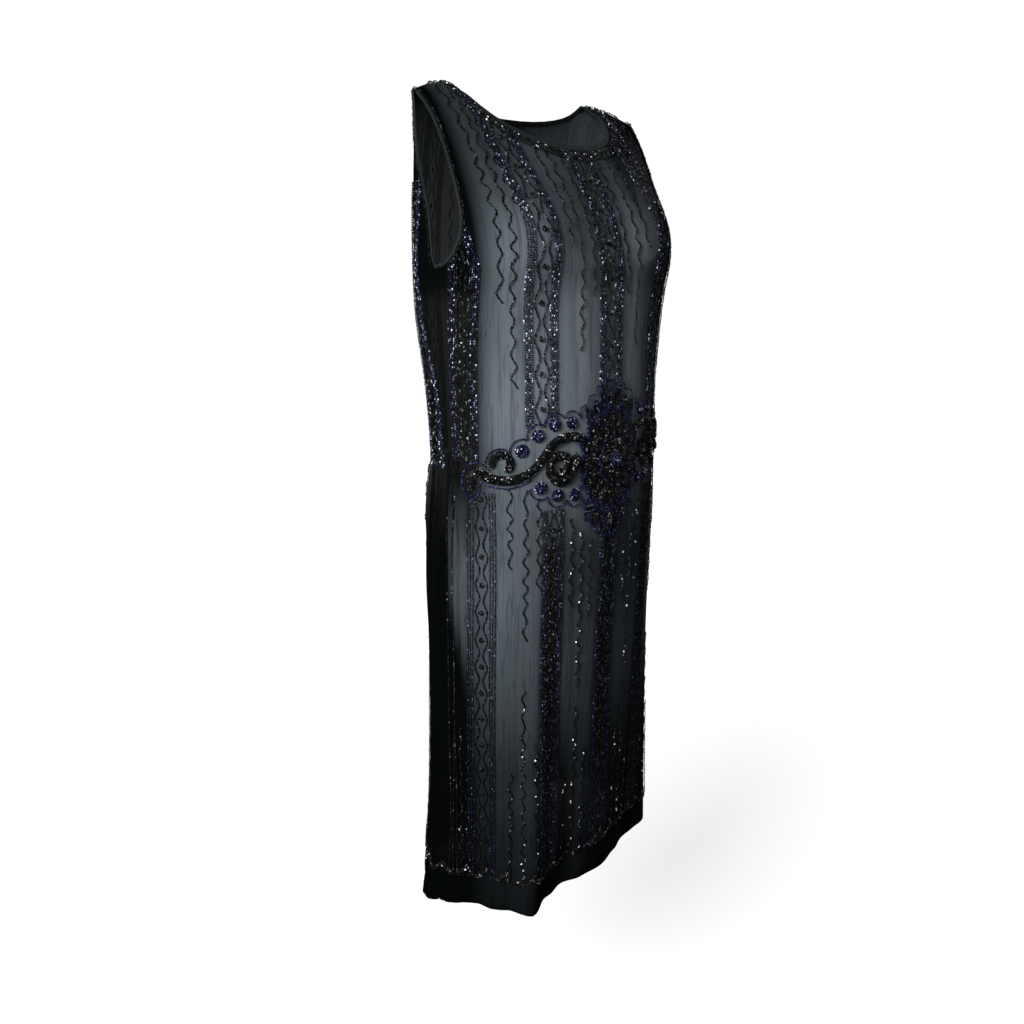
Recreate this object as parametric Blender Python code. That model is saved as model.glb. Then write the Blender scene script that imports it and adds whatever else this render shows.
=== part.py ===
"""Sleeveless flapper dress of sheer chiffon, hollow, in the pose it has when it is worn.

Metres, +Z up. The front faces -Y and the wearer's right side is at -X. The origin lies midway
between the two shoulder straps, level with the top of the shoulders that carry them.

A place on a panel has a share: -1 at the right side seam, 0 on the centre line and 1 at the left
side seam, by length round the section. Below the chest line its height is z. Above it the cloth
turns over the shoulder, by an angle from 0 at the chest line to a quarter turn at the seam.
"""

import math

import bmesh
import bpy
import numpy as np

# ---- driving sizes, metres ----
CLOTH = 0.0012            # wall that stands for chiffon with its beading
SEAM_GAP = 0.0003         # between the pieces at a seam
ARM_GAP = 0.0005          # between an armhole's edge, which twists, and its binding
LAY_GAP = 0.0005          # under what lies on a panel
CHEST_Z = -0.212          # bottom of the armholes, where the side seams begin
WAIST_Z = -0.455          # dropped waist seam
HEM_Z = -1.074            # lower edge of the skirt
HEM_TURN = 0.070          # depth of the turned-up hem
NECK_HALF_WIDTH = 0.125
NECK_DROP = {"front": 0.066, "back": 0.026}
NECK_ROUNDNESS = 2.3      # exponent of the scooped neckline
SHOULDER_DROP = 0.017     # from the neck end of the shoulder seam to its arm end
SHOULDER_ARCH = 0.003     # how far the seam rises between its ends
SHOULDER_FORWARD = 0.023  # the arm end of the seam lies this far forward
STRAP_END = 0.198         # distance of the arm end from the centre line
ROUNDNESS = 2.3           # exponent of the section's outline: 2 is an ellipse
SLOPE_ROUNDNESS = {"front": 1.45, "back": 1.9}  # slope from chest to shoulder: 1 is straight
NECK_BINDING = 0.006      # width of the bias strip round the neck
ARM_BINDING = 0.0026      # width of the rolled edge round an armhole

# Sections of the dress at rest: height, half the width, and y at the front, side seams and back.
SECTIONS = np.array(
    [
        # z,     half width, front, side,   back
        (-1.074, 0.203, -0.156, -0.042, 0.070),
        (-1.000, 0.199, -0.159, -0.047, 0.064),
        (-0.750, 0.193, -0.160, -0.052, 0.057),
        (-0.550, 0.188, -0.161, -0.053, 0.055),
        (-0.450, 0.183, -0.161, -0.053, 0.054),
        (-0.350, 0.187, -0.158, -0.051, 0.058),
        (-0.260, 0.200, -0.156, -0.054, 0.060),
        (-0.212, 0.206, -0.155, -0.060, 0.057),
    ]
)

# The armhole's edge, by rise from the chest line to the shoulder: it leaves the side seam level,
# comes in by "depth" of the panel's half by "turn_end", and flares out (or in) to the strap's end.
# "hollow" cuts the upper part further in.
ARMHOLE = {
    "front": {"depth": 0.175, "turn_end": 0.36, "flare": 0.050, "power": 7, "hollow": 0.0},
    "back": {"depth": 0.025, "turn_end": 0.16, "flare": -0.095, "power": 2, "hollow": 0.06},
}

# Fullness over the bust: share of its middle, height, half width in share, half height, depth.
BUST = {"share": 0.48, "z": -0.163, "wide": 0.24, "high": 0.055, "deep": 0.018}

# Side gathers below the waist seam: the share where they start, and how many on each side.
GATHERS = {"front": {"start": 0.875, "count": 3}, "back": {"start": 0.60, "count": 7}}
GATHER_DEPTH = np.array(
    [
        # below the seam, half depth
        (0.000, 0.0003),
        (0.025, 0.0019),
        (0.120, 0.0024),
        (0.300, 0.0020),
        (0.640, 0.0012),
    ]
)

# Soft folds that open towards the hem, outwards or, with a negative depth, inwards.
FOLDS = {
    "front": [
        # share, half width in share, depth at the hem, height where it dies out
        (-0.76, 0.15, -0.005, -0.70),
        (-0.50, 0.14, 0.013, -0.60),
        (-0.24, 0.13, -0.009, -0.70),
        (0.04, 0.16, 0.005, -0.76),
        (0.34, 0.15, -0.006, -0.72),
        (0.60, 0.15, 0.010, -0.64),
    ],
    "back": [
        (-0.58, 0.18, 0.008, -0.66),
        (-0.20, 0.18, -0.006, -0.72),
        (0.16, 0.20, 0.007, -0.68),
        (0.56, 0.15, 0.006, -0.66),
    ],
}

# ---- the grid of each panel ----
NECK_COLUMNS = 16         # between the two neck ends of the straps
STRAP_COLUMNS = 5         # across each strap
SLOPE_TURNS = 13          # rows from the chest line to the shoulder
SLOPE_SPREAD = 1.25       # rows lie closer near the chest line
BODICE_ROWS = [-0.43, -0.39, -0.35, -0.31, -0.275, -0.24]
SIDE_SEAM_ROWS = len(BODICE_ROWS) + 2  # rows of a bodice that end at the side seams
SKIRT_ROWS = [-0.468, -0.485, -0.52, -0.58, -0.67, -0.77, -0.87, -0.95]
GATHER_COLUMNS = 4        # columns to each gather
PLAIN_COLUMNS = {"front": 18, "back": 14}

# ---- the hip ornament, laid flat: across from the centre line and up from its middle ----
ORNAMENT_Z = -0.452
SCROLL = {"half_width": 0.0055, "height": 0.0032}
SCROLL_COURSE = np.array(
    [
        # across, up
        (0.052, 0.034),
        (0.078, 0.038),
        (0.100, 0.031),
        (0.116, 0.013),
        (0.134, -0.003),
        (0.158, -0.010),
        (0.181, -0.007),
        (0.196, 0.001),
        (0.204, -0.006),
        (0.203, -0.022),
    ]
)
SPIRAL = {"middle": (0.089, 0.002), "outer": 0.0235, "inner": 0.0065, "turns": 1.45, "start": 150.0}
HOOK = {"middle": (0.168, 0.0115), "outer": 0.0125, "inner": 0.0095, "turns": 0.72, "start": 235.0}
ROUNDEL = {"radius": 0.0078, "height": 0.0030}
ROUNDELS = [
    # across, up
    (0.072, 0.055),
    (0.098, 0.055),
    (0.121, 0.043),
    (0.142, 0.026),
    (0.118, -0.022),
    (0.094, -0.034),
    (0.067, -0.037),
]
PETALS = {"count": 16, "across": 0.058, "up": 0.066, "cut": 0.22, "height": 0.0040}
INNER_PETALS = {"count": 9, "across": 0.029, "up": 0.033, "cut": 0.18, "height": 0.0030}
CENTRE = {"radius": 0.0105, "height": 0.0045}
LEAVES = [
    # name, degrees from straight up, start from the middle, length, half width
    ("top", 0.0, 0.068, 0.024, 0.0060),
    ("top_right", 22.5, 0.067, 0.018, 0.0055),
    ("top_left", -22.5, 0.067, 0.018, 0.0055),
    ("low", 180.0, 0.068, 0.028, 0.0065),
    ("low_right", 157.5, 0.067, 0.024, 0.0060),
    ("low_left", -157.5, 0.067, 0.024, 0.0060),
]
LIFT_OVER_PETALS = PETALS["height"] + LAY_GAP
LIFT_OVER_INNER = LIFT_OVER_PETALS + INNER_PETALS["height"] + LAY_GAP

# ---- colours: linear red, green, blue, with roughness ----
FINISHES = {
    "black silk chiffon": ((0.012, 0.015, 0.015), 0.8),
    "black cut glass beads": ((0.008, 0.008, 0.009), 0.2),
    "navy cut glass beads": ((0.012, 0.012, 0.055), 0.2),
}


# ---- the form of the cloth ----
def smooth(table, at):
    """The table's second column and on, at a value of its first, by a smooth curve."""
    rows, values = table[:, 0], table[:, 1:]
    slopes = np.gradient(values, rows, axis=0)
    i = int(np.clip(np.searchsorted(rows, at) - 1, 0, len(rows) - 2))
    span = rows[i + 1] - rows[i]
    t = np.clip((at - rows[i]) / span, 0.0, 1.0)
    return (
        (1 + 2 * t) * (1 - t) ** 2 * values[i]
        + t * (1 - t) ** 2 * span * slopes[i]
        + t**2 * (3 - 2 * t) * values[i + 1]
        + t**2 * (t - 1) * span * slopes[i + 1]
    )


def quarter(panel, z):
    """A quarter of the outline: x, distance from the side line, length from the middle, side line."""
    half_width, front, side, back = smooth(SECTIONS, z)
    depth = side - front if panel == "front" else back - side
    turn = np.linspace(0.0, math.pi / 2, 241)
    x = half_width * np.sin(turn) ** (2 / ROUNDNESS)
    y = depth * np.cos(turn) ** (2 / ROUNDNESS)
    length = np.concatenate([[0.0], np.cumsum(np.hypot(np.diff(x), np.diff(y)))])
    return x, y, length, side


def forward(panel):
    return -1.0 if panel == "front" else 1.0


def bump(value):
    """1 at 0, falling smoothly to 0 at 1 and at -1."""
    return 0.5 + 0.5 * math.cos(math.pi * min(1.0, abs(value)))


def gather_push(panel, share, z):
    rule = GATHERS[panel]
    part = (abs(share) - rule["start"]) / (1.0 - rule["start"])
    if part <= 0.0 or z > WAIST_Z:
        return 0.0
    half_depth = smooth(GATHER_DEPTH, WAIST_Z - z)[0]
    return half_depth * (1.0 - math.cos(2 * math.pi * rule["count"] * part))


def fold_push(panel, share, z):
    push = 0.0
    for middle, half_width, depth, top in FOLDS[panel]:
        if z < top:
            fall = (top - z) / (top - HEM_Z)
            push += depth * fall**1.4 * bump((share - middle) / half_width)
    return push


def bust_push(panel, share, z):
    if panel == "back":
        return 0.0
    across = (abs(share) - BUST["share"]) / BUST["wide"]
    up = (z - BUST["z"]) / BUST["high"]
    return BUST["deep"] * math.exp(-across * across - up * up)


def wall_point(panel, share, z):
    """A point of the cloth's inner side between the chest line and the hem."""
    xs, ys, length, side = quarter(panel, z)
    along = min(abs(share), 1.0) * length[-1]
    x, y = np.interp(along, length, xs), np.interp(along, length, ys)
    step = 0.02 * length[-1]
    near, far = max(0.0, along - step), min(length[-1], along + step)
    dx = np.interp(far, length, xs) - np.interp(near, length, xs)
    dy = np.interp(far, length, ys) - np.interp(near, length, ys)
    outward = np.array([-dy, dx]) / math.hypot(dx, dy)
    push = gather_push(panel, share, z) + fold_push(panel, share, z)
    x, y = np.array([x, y]) + outward * push
    y += bust_push(panel, share, z)
    return np.array([math.copysign(x, share), side + forward(panel) * y, z])


def shoulder(x):
    """Where the shoulder seam lies at this distance from the centre line."""
    beyond = max(0.0, abs(x) - NECK_HALF_WIDTH) / (STRAP_END - NECK_HALF_WIDTH)
    arch = SHOULDER_ARCH * math.sin(math.pi * min(1.0, beyond))
    return -SHOULDER_FORWARD * beyond, arch - SHOULDER_DROP * beyond


def slope_point(panel, share, turn):
    """A point of the cloth's inner side between the chest line and the shoulder seam."""
    power = 2 / SLOPE_ROUNDNESS[panel]
    rise, fall = math.sin(turn) ** power, max(0.0, math.cos(turn)) ** power
    x, y, _ = wall_point(panel, share, CHEST_Z)
    seam_y, seam_z = shoulder(x)
    z = CHEST_Z + (seam_z - CHEST_Z) * rise
    fullness = bust_push(panel, share, z) - bust_push(panel, share, CHEST_Z) * fall
    return np.array([x, seam_y + (y - seam_y) * fall + forward(panel) * fullness, z])


def armhole_share(panel, turn):
    rule = ARMHOLE[panel]
    rise = math.sin(turn) ** (2 / SLOPE_ROUNDNESS[panel])
    left = 1.0 - min(1.0, rise / rule["turn_end"])
    past = max(0.0, rise - rule["turn_end"]) / (1.0 - rule["turn_end"])
    cut = rule["depth"] * math.sqrt(1.0 - left * left) + rule["hollow"] * math.sin(math.pi * past * past)
    return 1.0 - cut + rule["flare"] * past ** rule["power"]


def neck_place(panel, angle, grow):
    """Share and turn of the neckline, moved down the cloth by grow: angle 0 is the centre line."""
    x = (NECK_HALF_WIDTH + grow) * math.sin(angle) ** (2 / NECK_ROUNDNESS)
    drop = (NECK_DROP[panel] + grow) * max(0.0, math.cos(angle)) ** (2 / NECK_ROUNDNESS)
    seam_z = shoulder(x)[1]
    rise = (seam_z - drop - CHEST_Z) / (seam_z - CHEST_Z)
    xs, _, length, _ = quarter(panel, CHEST_Z)
    share = np.interp(x, xs, length) / length[-1]
    return share, math.asin(min(1.0, rise) ** (SLOPE_ROUNDNESS[panel] / 2))


def slope_turns():
    steps = np.linspace(0.0, 1.0, SLOPE_TURNS)
    return steps**SLOPE_SPREAD


def neck_angles():
    """From the right end of the neckline to its left end, as signed angles from the centre."""
    return np.linspace(-math.pi / 2, math.pi / 2, NECK_COLUMNS + 1)


def slope_columns(panel):
    """For each column of a bodice: its share at the chest line, and its places up the slope."""
    grow = NECK_BINDING + SEAM_GAP
    neck_end = neck_place(panel, math.pi / 2, grow)[0]
    columns = []
    for angle in neck_angles():
        side = math.copysign(1.0, angle)
        top_share, top_turn = neck_place(panel, abs(angle), grow)
        low_share = neck_end * abs(angle) / (math.pi / 2)
        places = [
            (side * (low_share + (top_share - low_share) * t), top_turn * t) for t in slope_turns()
        ]
        columns.append((side * low_share, places))
    right, left = [], []
    for k in range(1, STRAP_COLUMNS + 1):
        part = k / STRAP_COLUMNS
        places = []
        for t in slope_turns():
            turn = t * math.pi / 2
            share = neck_end + (armhole_share(panel, turn) - neck_end) * part
            places.append((share, turn))
        low_share = places[0][0]
        left.append((low_share, places))
        right.insert(0, (-low_share, [(-share, turn) for share, turn in places]))
    return right + columns + left


def bodice_grid(panel):
    """Rows of points from the waist seam up to the neck edge and the shoulder seams."""
    columns = slope_columns(panel)
    rows = [
        [wall_point(panel, share, z) for share, _ in columns]
        for z in [WAIST_Z + SEAM_GAP / 2] + BODICE_ROWS
    ]
    for k in range(SLOPE_TURNS):
        rows.append([slope_point(panel, *places[k]) for _, places in columns])
    grid = np.array(rows)
    grid[-1, : STRAP_COLUMNS + 1, 1] += forward(panel) * SEAM_GAP / 2
    grid[-1, -STRAP_COLUMNS - 1 :, 1] += forward(panel) * SEAM_GAP / 2
    return grid


def skirt_shares(panel):
    rule = GATHERS[panel]
    plain = np.linspace(0.0, rule["start"], PLAIN_COLUMNS[panel] // 2 + 1)
    gathered = np.linspace(rule["start"], 1.0, rule["count"] * GATHER_COLUMNS + 1)[1:]
    half = np.concatenate([plain, gathered])
    return np.concatenate([-half[:0:-1], half])


def skirt_grid(panel):
    """Rows of points from the hem up to the waist seam."""
    hem_top = HEM_Z + HEM_TURN
    levels = [WAIST_Z - SEAM_GAP / 2] + SKIRT_ROWS + [hem_top + 0.0008, hem_top, (hem_top + HEM_Z) / 2, HEM_Z]
    return np.array([[wall_point(panel, s, z) for s in skirt_shares(panel)] for z in levels[::-1]])


def part_at_sides(grid, panel, seam_rows):
    """Leaves half the seam gap to the other panel, from the lowest row to the armhole."""
    grid[:seam_rows, [0, -1], 1] += forward(panel) * SEAM_GAP / 2


def normals(grid, panel, seam_rows):
    """Outward unit normals at the points of a grid, square to the side seams along its lowest rows."""
    along = np.gradient(grid, axis=1)
    up = np.gradient(grid, axis=0)
    cross = np.cross(along, up)
    cross[:seam_rows, [0, -1], 1] = 0.0
    cross /= np.linalg.norm(cross, axis=2, keepdims=True)
    middle = cross[0, cross.shape[1] // 2, 1]
    return cross * math.copysign(1.0, middle * forward(panel))


# ---- making the objects ----
def finish(name):
    material = bpy.data.materials.get(name) or bpy.data.materials.new(name)
    material.use_nodes = True
    shader = material.node_tree.nodes["Principled BSDF"]
    colour, roughness = FINISHES[name]
    shader.inputs["Base Color"].default_value = (*colour, 1.0)
    shader.inputs["Roughness"].default_value = roughness
    return material


def add_object(name, points, faces, material):
    mesh = bpy.data.meshes.new(name)
    mesh.from_pydata([tuple(p) for p in points], [], faces)
    work = bmesh.new()
    work.from_mesh(mesh)
    bmesh.ops.recalc_face_normals(work, faces=work.faces)
    if work.calc_volume(signed=True) < 0.0:
        bmesh.ops.reverse_faces(work, faces=work.faces)
    work.to_mesh(mesh)
    work.free()
    mesh.shade_smooth()
    mesh.set_sharp_from_angle(angle=math.radians(50))
    mesh.materials.append(finish(material))
    body = bpy.data.objects.new(name, mesh)
    bpy.context.scene.collection.objects.link(body)
    return body


def add_wall(name, grid, panel, seam_rows, double_rows=0):
    """A cloth wall outside the grid. Its lowest rows are double, with the second layer inside."""
    out = normals(grid, panel, seam_rows)
    rows, columns = grid.shape[:2]
    inner = grid.copy()
    inner[:double_rows] -= out[:double_rows] * CLOTH
    outer = grid + out * CLOTH
    points = np.concatenate([inner.reshape(-1, 3), outer.reshape(-1, 3)])
    lift = rows * columns

    def at(row, column):
        return row * columns + column

    faces = []
    for i in range(rows - 1):
        for j in range(columns - 1):
            quad = [at(i, j), at(i, j + 1), at(i + 1, j + 1), at(i + 1, j)]
            faces.append(quad)
            faces.append([lift + k for k in quad[::-1]])
    rim = [at(0, j) for j in range(columns)]
    rim += [at(i, columns - 1) for i in range(1, rows)]
    rim += [at(rows - 1, j) for j in range(columns - 2, -1, -1)]
    rim += [at(i, 0) for i in range(rows - 2, 0, -1)]
    for k, here in enumerate(rim):
        there = rim[(k + 1) % len(rim)]
        faces.append([here, here + lift, there + lift, there])
    return add_object(name, points, faces, "black silk chiffon")


def add_loft(name, rings, closed, material):
    """Skins a row of rings of points. A closed one joins its ends; an open one is capped."""
    count, sides = len(rings), len(rings[0])
    points = [p for ring in rings for p in ring]
    faces = []
    for i in range(count if closed else count - 1):
        low, high = i * sides, (i + 1) % count * sides
        for k in range(sides):
            near, far = k, (k + 1) % sides
            faces.append([low + near, low + far, high + far, high + near])
    if not closed:
        faces.append(list(range(sides)))
        faces.append([(count - 1) * sides + k for k in range(sides)])
    return add_object(name, points, faces, material)


def add_neck_binding():
    """One flat strip round the neck, made from points of both bodice panels."""
    rings = []
    for panel in ("front", "back"):
        angles = neck_angles() if panel == "front" else neck_angles()[-2:0:-1]
        for angle in angles:
            side = math.copysign(1.0, angle)
            lines = []
            for grow in (0.0, NECK_BINDING):
                share, turn = neck_place(panel, abs(angle), grow)
                base = slope_point(panel, side * share, turn)
                if abs(angle) > 1.57:
                    out = np.array([0.0, 0.0, 1.0])
                else:
                    out = outward_at(panel, side * share, turn)
                lines.append((base, out))
            (edge, edge_out), (seam, seam_out) = lines
            rings.append([edge, edge + edge_out * CLOTH, seam + seam_out * CLOTH, seam])
    return add_loft("neck_binding", rings, True, "black silk chiffon")


def outward_at(panel, share, turn):
    """Outward unit normal of the slope, found from three places near by."""
    step = 0.02
    here = slope_point(panel, share, turn)
    along = slope_point(panel, share + step, turn) - here
    up = here - slope_point(panel, share, turn - step)
    cross = np.cross(along, up)
    cross /= np.linalg.norm(cross)
    return cross * math.copysign(1.0, cross[1] * forward(panel))


def armhole_edge(grid, panel, side):
    """The edge's points from the chest line up, with the cloth's normals and the way off the cloth."""
    low = SIDE_SEAM_ROWS - 1
    edge, inside = (0, 1) if side < 0 else (-1, -2)
    outs = normals(grid, panel, SIDE_SEAM_ROWS)
    return np.stack([grid[low:, edge], outs[low:, edge], grid[low:, edge] - grid[low:, inside]])


def add_armhole_binding(name, front, back):
    """A rolled edge along the armhole edge of the front and then down that of the back."""
    bottom, top = (front[:, 0] + back[:, 0]) / 2, (front[:, -1] + back[:, -1]) / 2
    bottom[2] = (0.0, 0.0, 1.0)
    loop = np.concatenate([bottom[:, None], front[:, 1:-1], top[:, None], back[:, -2:0:-1]], axis=1)
    path, outs, aways = loop
    ahead = np.roll(path, -1, axis=0) - path
    ahead /= np.linalg.norm(ahead, axis=1, keepdims=True)
    tangents = ahead + np.roll(ahead, 1, axis=0)
    tangents /= np.linalg.norm(tangents, axis=1, keepdims=True)
    rings = []
    for k, place in enumerate(path):
        off = np.cross(outs[k], tangents[k])
        off *= math.copysign(1.0, off.dot(aways[k])) / np.linalg.norm(off)
        off /= max(0.5, ahead[k].dot(tangents[k]))
        base = place - outs[k] * (ARM_BINDING - CLOTH) / 2
        top = base + outs[k] * ARM_BINDING
        start, end = off * ARM_GAP, off * (ARM_GAP + ARM_BINDING)
        rings.append([base + start, top + start, top + end, base + end])
    return add_loft(name, rings, True, "black silk chiffon")


# ---- the ornament, laid on the front from flat sizes ----
def lay(across, up, lift):
    """A point over the front's outer side, from flat sizes and a lift above the cloth."""
    z = ORNAMENT_Z + up
    length = quarter("front", z)[2][-1]
    share = across / length
    here = wall_point("front", share, z)
    step = 0.004
    along = wall_point("front", share + step / length, z) - wall_point("front", share - step / length, z)
    rise = wall_point("front", share, z + step) - wall_point("front", share, z - step)
    out = np.cross(along, rise)
    out /= np.linalg.norm(out)
    out *= math.copysign(1.0, -out[1]) if abs(out[1]) > 0.05 else math.copysign(1.0, out[0] * share)
    return here + out * (CLOTH + LAY_GAP + lift)


def curve_through(rows, steps):
    """Points evenly spaced by row on a smooth curve through a table of flat places."""
    keyed = np.column_stack([np.arange(len(rows)), rows])
    return np.array([smooth(keyed, at) for at in np.linspace(0, len(rows) - 1, steps)])


def coil(rule, side):
    """A flat spiral that winds in from its outer end."""
    steps = max(12, int(26 * rule["turns"]))
    points = []
    for k in range(steps + 1):
        part = k / steps
        angle = math.radians(rule["start"]) + side * 2 * math.pi * rule["turns"] * part
        radius = rule["outer"] + (rule["inner"] - rule["outer"]) * part
        across = rule["middle"][0] + radius * math.cos(angle)
        points.append((across, rule["middle"][1] + radius * math.sin(angle)))
    return np.array(points)


def add_cord(name, course, side, material, half_width=SCROLL["half_width"], height=SCROLL["height"]):
    """A padded cord with a flat underside, along flat places given for the left side."""
    ahead = np.gradient(course, axis=0)
    ahead /= np.linalg.norm(ahead, axis=1, keepdims=True)
    beside = np.column_stack([-ahead[:, 1], ahead[:, 0]])
    profile = [(-1.0, 0.0), (-0.72, 0.72), (0.0, 1.0), (0.72, 0.72), (1.0, 0.0)]
    rings = []
    for k, place in enumerate(course):
        ends = min(k, len(course) - 1 - k)
        slim = (0.55, 0.88)[ends] if ends < 2 else 1.0
        ring = []
        for out, lift in profile:
            across, up = place + beside[k] * out * half_width * slim
            ring.append(lay(side * across, up, lift * height * slim))
        rings.append(ring)
    return add_loft(name, rings, False, material)


def add_dome(name, middle, side, radius, height, lift, material, sectors=10):
    rings = [(0.0, 1.0), (0.55, 0.86), (0.88, 0.5), (1.0, 0.0)]
    points, faces = [lay(side * middle[0], middle[1], lift + height)], []
    for out, tall in rings[1:]:
        for k in range(sectors):
            angle = 2 * math.pi * k / sectors
            across = middle[0] + radius * out * math.cos(angle)
            up = middle[1] + radius * out * math.sin(angle)
            points.append(lay(side * across, up, lift + height * tall))
    for k in range(sectors):
        after = (k + 1) % sectors
        faces.append([0, 1 + k, 1 + after])
        for ring in range(2):
            low, high = 1 + ring * sectors, 1 + (ring + 1) * sectors
            faces.append([low + k, high + k, high + after, low + after])
    faces.append([1 + 2 * sectors + k for k in range(sectors)])
    return add_object(name, points, faces, material)


def add_petals(name, rule, lift, hole, material):
    """A ring of pointed petals round a hole, ridged along each petal."""
    steps = rule["count"] * 4
    rings = []
    for k in range(steps):
        angle = 2 * math.pi * k / steps
        wave = abs(k % 4 - 2) / 2
        reach = 1.0 - rule["cut"] * (1.0 - wave)
        ridge = 0.55 + 0.45 * wave
        flat = np.array([rule["across"] * math.sin(angle), rule["up"] * math.cos(angle)])
        profile = [
            (hole, 0.0), (hole, 0.8), ((hole + reach) / 2, ridge), (reach, 0.3),
            (reach, 0.0), (0.75 * reach, 0.0), (0.5 * reach, 0.0), (0.3 * reach, 0.0),
        ]
        rings.append([lay(*(flat * out), lift + rule["height"] * tall) for out, tall in profile])
    return add_loft(name, rings, True, material)


def add_leaf(name, degrees, start, length, half_width, material):
    turn = math.radians(degrees)
    ahead = np.array([math.sin(turn), math.cos(turn)])
    beside = np.array([ahead[1], -ahead[0]])
    rings = []
    for part in (0.0, 0.25, 0.55, 0.85, 1.0):
        middle = ahead * (start + length * part)
        width = half_width * (0.18 + 0.82 * math.sin(math.pi * (0.12 + 0.86 * part)))
        tall = SCROLL["height"] * (0.35 + 0.65 * math.sin(math.pi * part))
        rings.append(
            [
                lay(*(middle - beside * width), 0.0),
                lay(*middle, tall),
                lay(*(middle + beside * width), 0.0),
            ]
        )
    return add_loft(name, rings, False, material)


def build_panels():
    edges = {}
    for panel in ("front", "back"):
        grid = bodice_grid(panel)
        part_at_sides(grid, panel, SIDE_SEAM_ROWS)
        add_wall(f"bodice_{panel}", grid, panel, SIDE_SEAM_ROWS)
        edges[panel] = {side: armhole_edge(grid, panel, side) for side in (-1.0, 1.0)}
        skirt = skirt_grid(panel)
        part_at_sides(skirt, panel, len(skirt))
        add_wall(f"skirt_{panel}", skirt, panel, len(skirt), double_rows=3)
    add_neck_binding()
    for hand, side in (("right", -1.0), ("left", 1.0)):
        add_armhole_binding(f"armhole_binding_{hand}", edges["front"][side], edges["back"][side])


def build_ornament():
    black, navy = "black cut glass beads", "navy cut glass beads"
    for hand, side in (("right", -1.0), ("left", 1.0)):
        add_cord(f"scroll_{hand}", curve_through(SCROLL_COURSE, 37), side, black)
        add_cord(f"spiral_{hand}", coil(SPIRAL, 1.0), side, black)
        add_cord(f"hook_{hand}", coil(HOOK, -1.0), side, black, half_width=0.0045)
        for k, middle in enumerate(ROUNDELS):
            add_dome(f"roundel_{hand}_{k + 1}", middle, side, ROUNDEL["radius"], ROUNDEL["height"], 0.0, navy)
    add_petals("flower_petals", PETALS, 0.0, 0.12, black)
    add_petals("flower_inner", INNER_PETALS, LIFT_OVER_PETALS, 0.12, black)
    add_dome("flower_centre", (0.0, 0.0), 1.0, CENTRE["radius"], CENTRE["height"], LIFT_OVER_INNER, navy, 12)
    for name, degrees, start, length, half_width in LEAVES:
        add_leaf(f"leaf_{name}", degrees, start, length, half_width, black)


def main():
    for thing in list(bpy.data.objects):
        bpy.data.objects.remove(thing, do_unlink=True)
    build_panels()
    build_ornament()


main()
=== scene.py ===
import math
import time

import bpy
import numpy as np
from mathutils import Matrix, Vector


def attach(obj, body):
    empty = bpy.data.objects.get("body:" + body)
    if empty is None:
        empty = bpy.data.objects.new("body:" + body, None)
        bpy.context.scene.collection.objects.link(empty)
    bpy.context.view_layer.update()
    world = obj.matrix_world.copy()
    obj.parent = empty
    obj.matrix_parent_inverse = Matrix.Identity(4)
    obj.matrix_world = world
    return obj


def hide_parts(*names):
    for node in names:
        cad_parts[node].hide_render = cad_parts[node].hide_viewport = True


# Sleeveless beaded flapper dress: metres, +Z up, front towards -Y, the wearer's right at -X.

startTime = time.time()
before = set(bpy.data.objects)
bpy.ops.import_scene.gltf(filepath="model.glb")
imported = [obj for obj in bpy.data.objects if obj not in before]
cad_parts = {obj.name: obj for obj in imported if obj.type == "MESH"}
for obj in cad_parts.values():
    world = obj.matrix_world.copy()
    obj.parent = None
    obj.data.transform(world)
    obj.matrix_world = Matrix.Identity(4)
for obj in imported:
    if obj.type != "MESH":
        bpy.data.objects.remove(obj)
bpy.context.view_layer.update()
scene = bpy.context.scene


def report(stage):
    print(f"[dress] {stage}: {time.time() - startTime:.1f} s")


def linear(hexColour):  # an sRGB hex value as linear red, green, blue and 1
    parts = [int(hexColour[k : k + 2], 16) / 255 for k in (1, 3, 5)]
    return tuple(c / 12.92 if c <= 0.04045 else ((c + 0.055) / 1.055) ** 2.4 for c in parts) + (1.0,)


def setInputs(tree, node, inputs):  # to a value, a socket, or a node, whose first output is meant
    for key, value in inputs.items():
        if isinstance(value, bpy.types.Node):
            value = next(socket for socket in value.outputs if socket.enabled)
        if isinstance(value, bpy.types.NodeSocket):
            tree.links.new(value, node.inputs[key])
        else:
            node.inputs[key].default_value = value


def addNode(tree, kind, settings=None, inputs=None):
    node = tree.nodes.new(kind)
    for key, value in (settings or {}).items():
        setattr(node, key, value)
    setInputs(tree, node, inputs or {})
    return node


def newMaterial(name):
    material = bpy.data.materials.new(name)
    material.use_nodes = True
    tree = material.node_tree
    return material, tree, tree.nodes["Principled BSDF"]


# The view is three-quarters from the wearer's right, where the key light stands too.
view = {
    "azimuth": 46.85,     # degrees from straight in front, towards the wearer's right
    "pitch": 15.4,        # degrees down
    "place": (-0.9547, -0.8823, -0.197),
    "lens": 32.83,
    "sensor": 36.0,
}
cameraData = bpy.data.cameras.new("studioCamera")
cameraData.lens = view["lens"]
cameraData.sensor_width = view["sensor"]
camera = bpy.data.objects.new("studioCamera", cameraData)
aim, tilt = math.radians(view["azimuth"]), math.radians(view["pitch"])
ahead = Vector((math.sin(aim) * math.cos(tilt), math.cos(aim) * math.cos(tilt), -math.sin(tilt)))
camera.location = view["place"]
camera.rotation_euler = ahead.to_track_quat("-Z", "Y").to_euler()
scene.collection.objects.link(camera)
scene.camera = camera
scene.view_settings.view_transform = "Standard"

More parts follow.
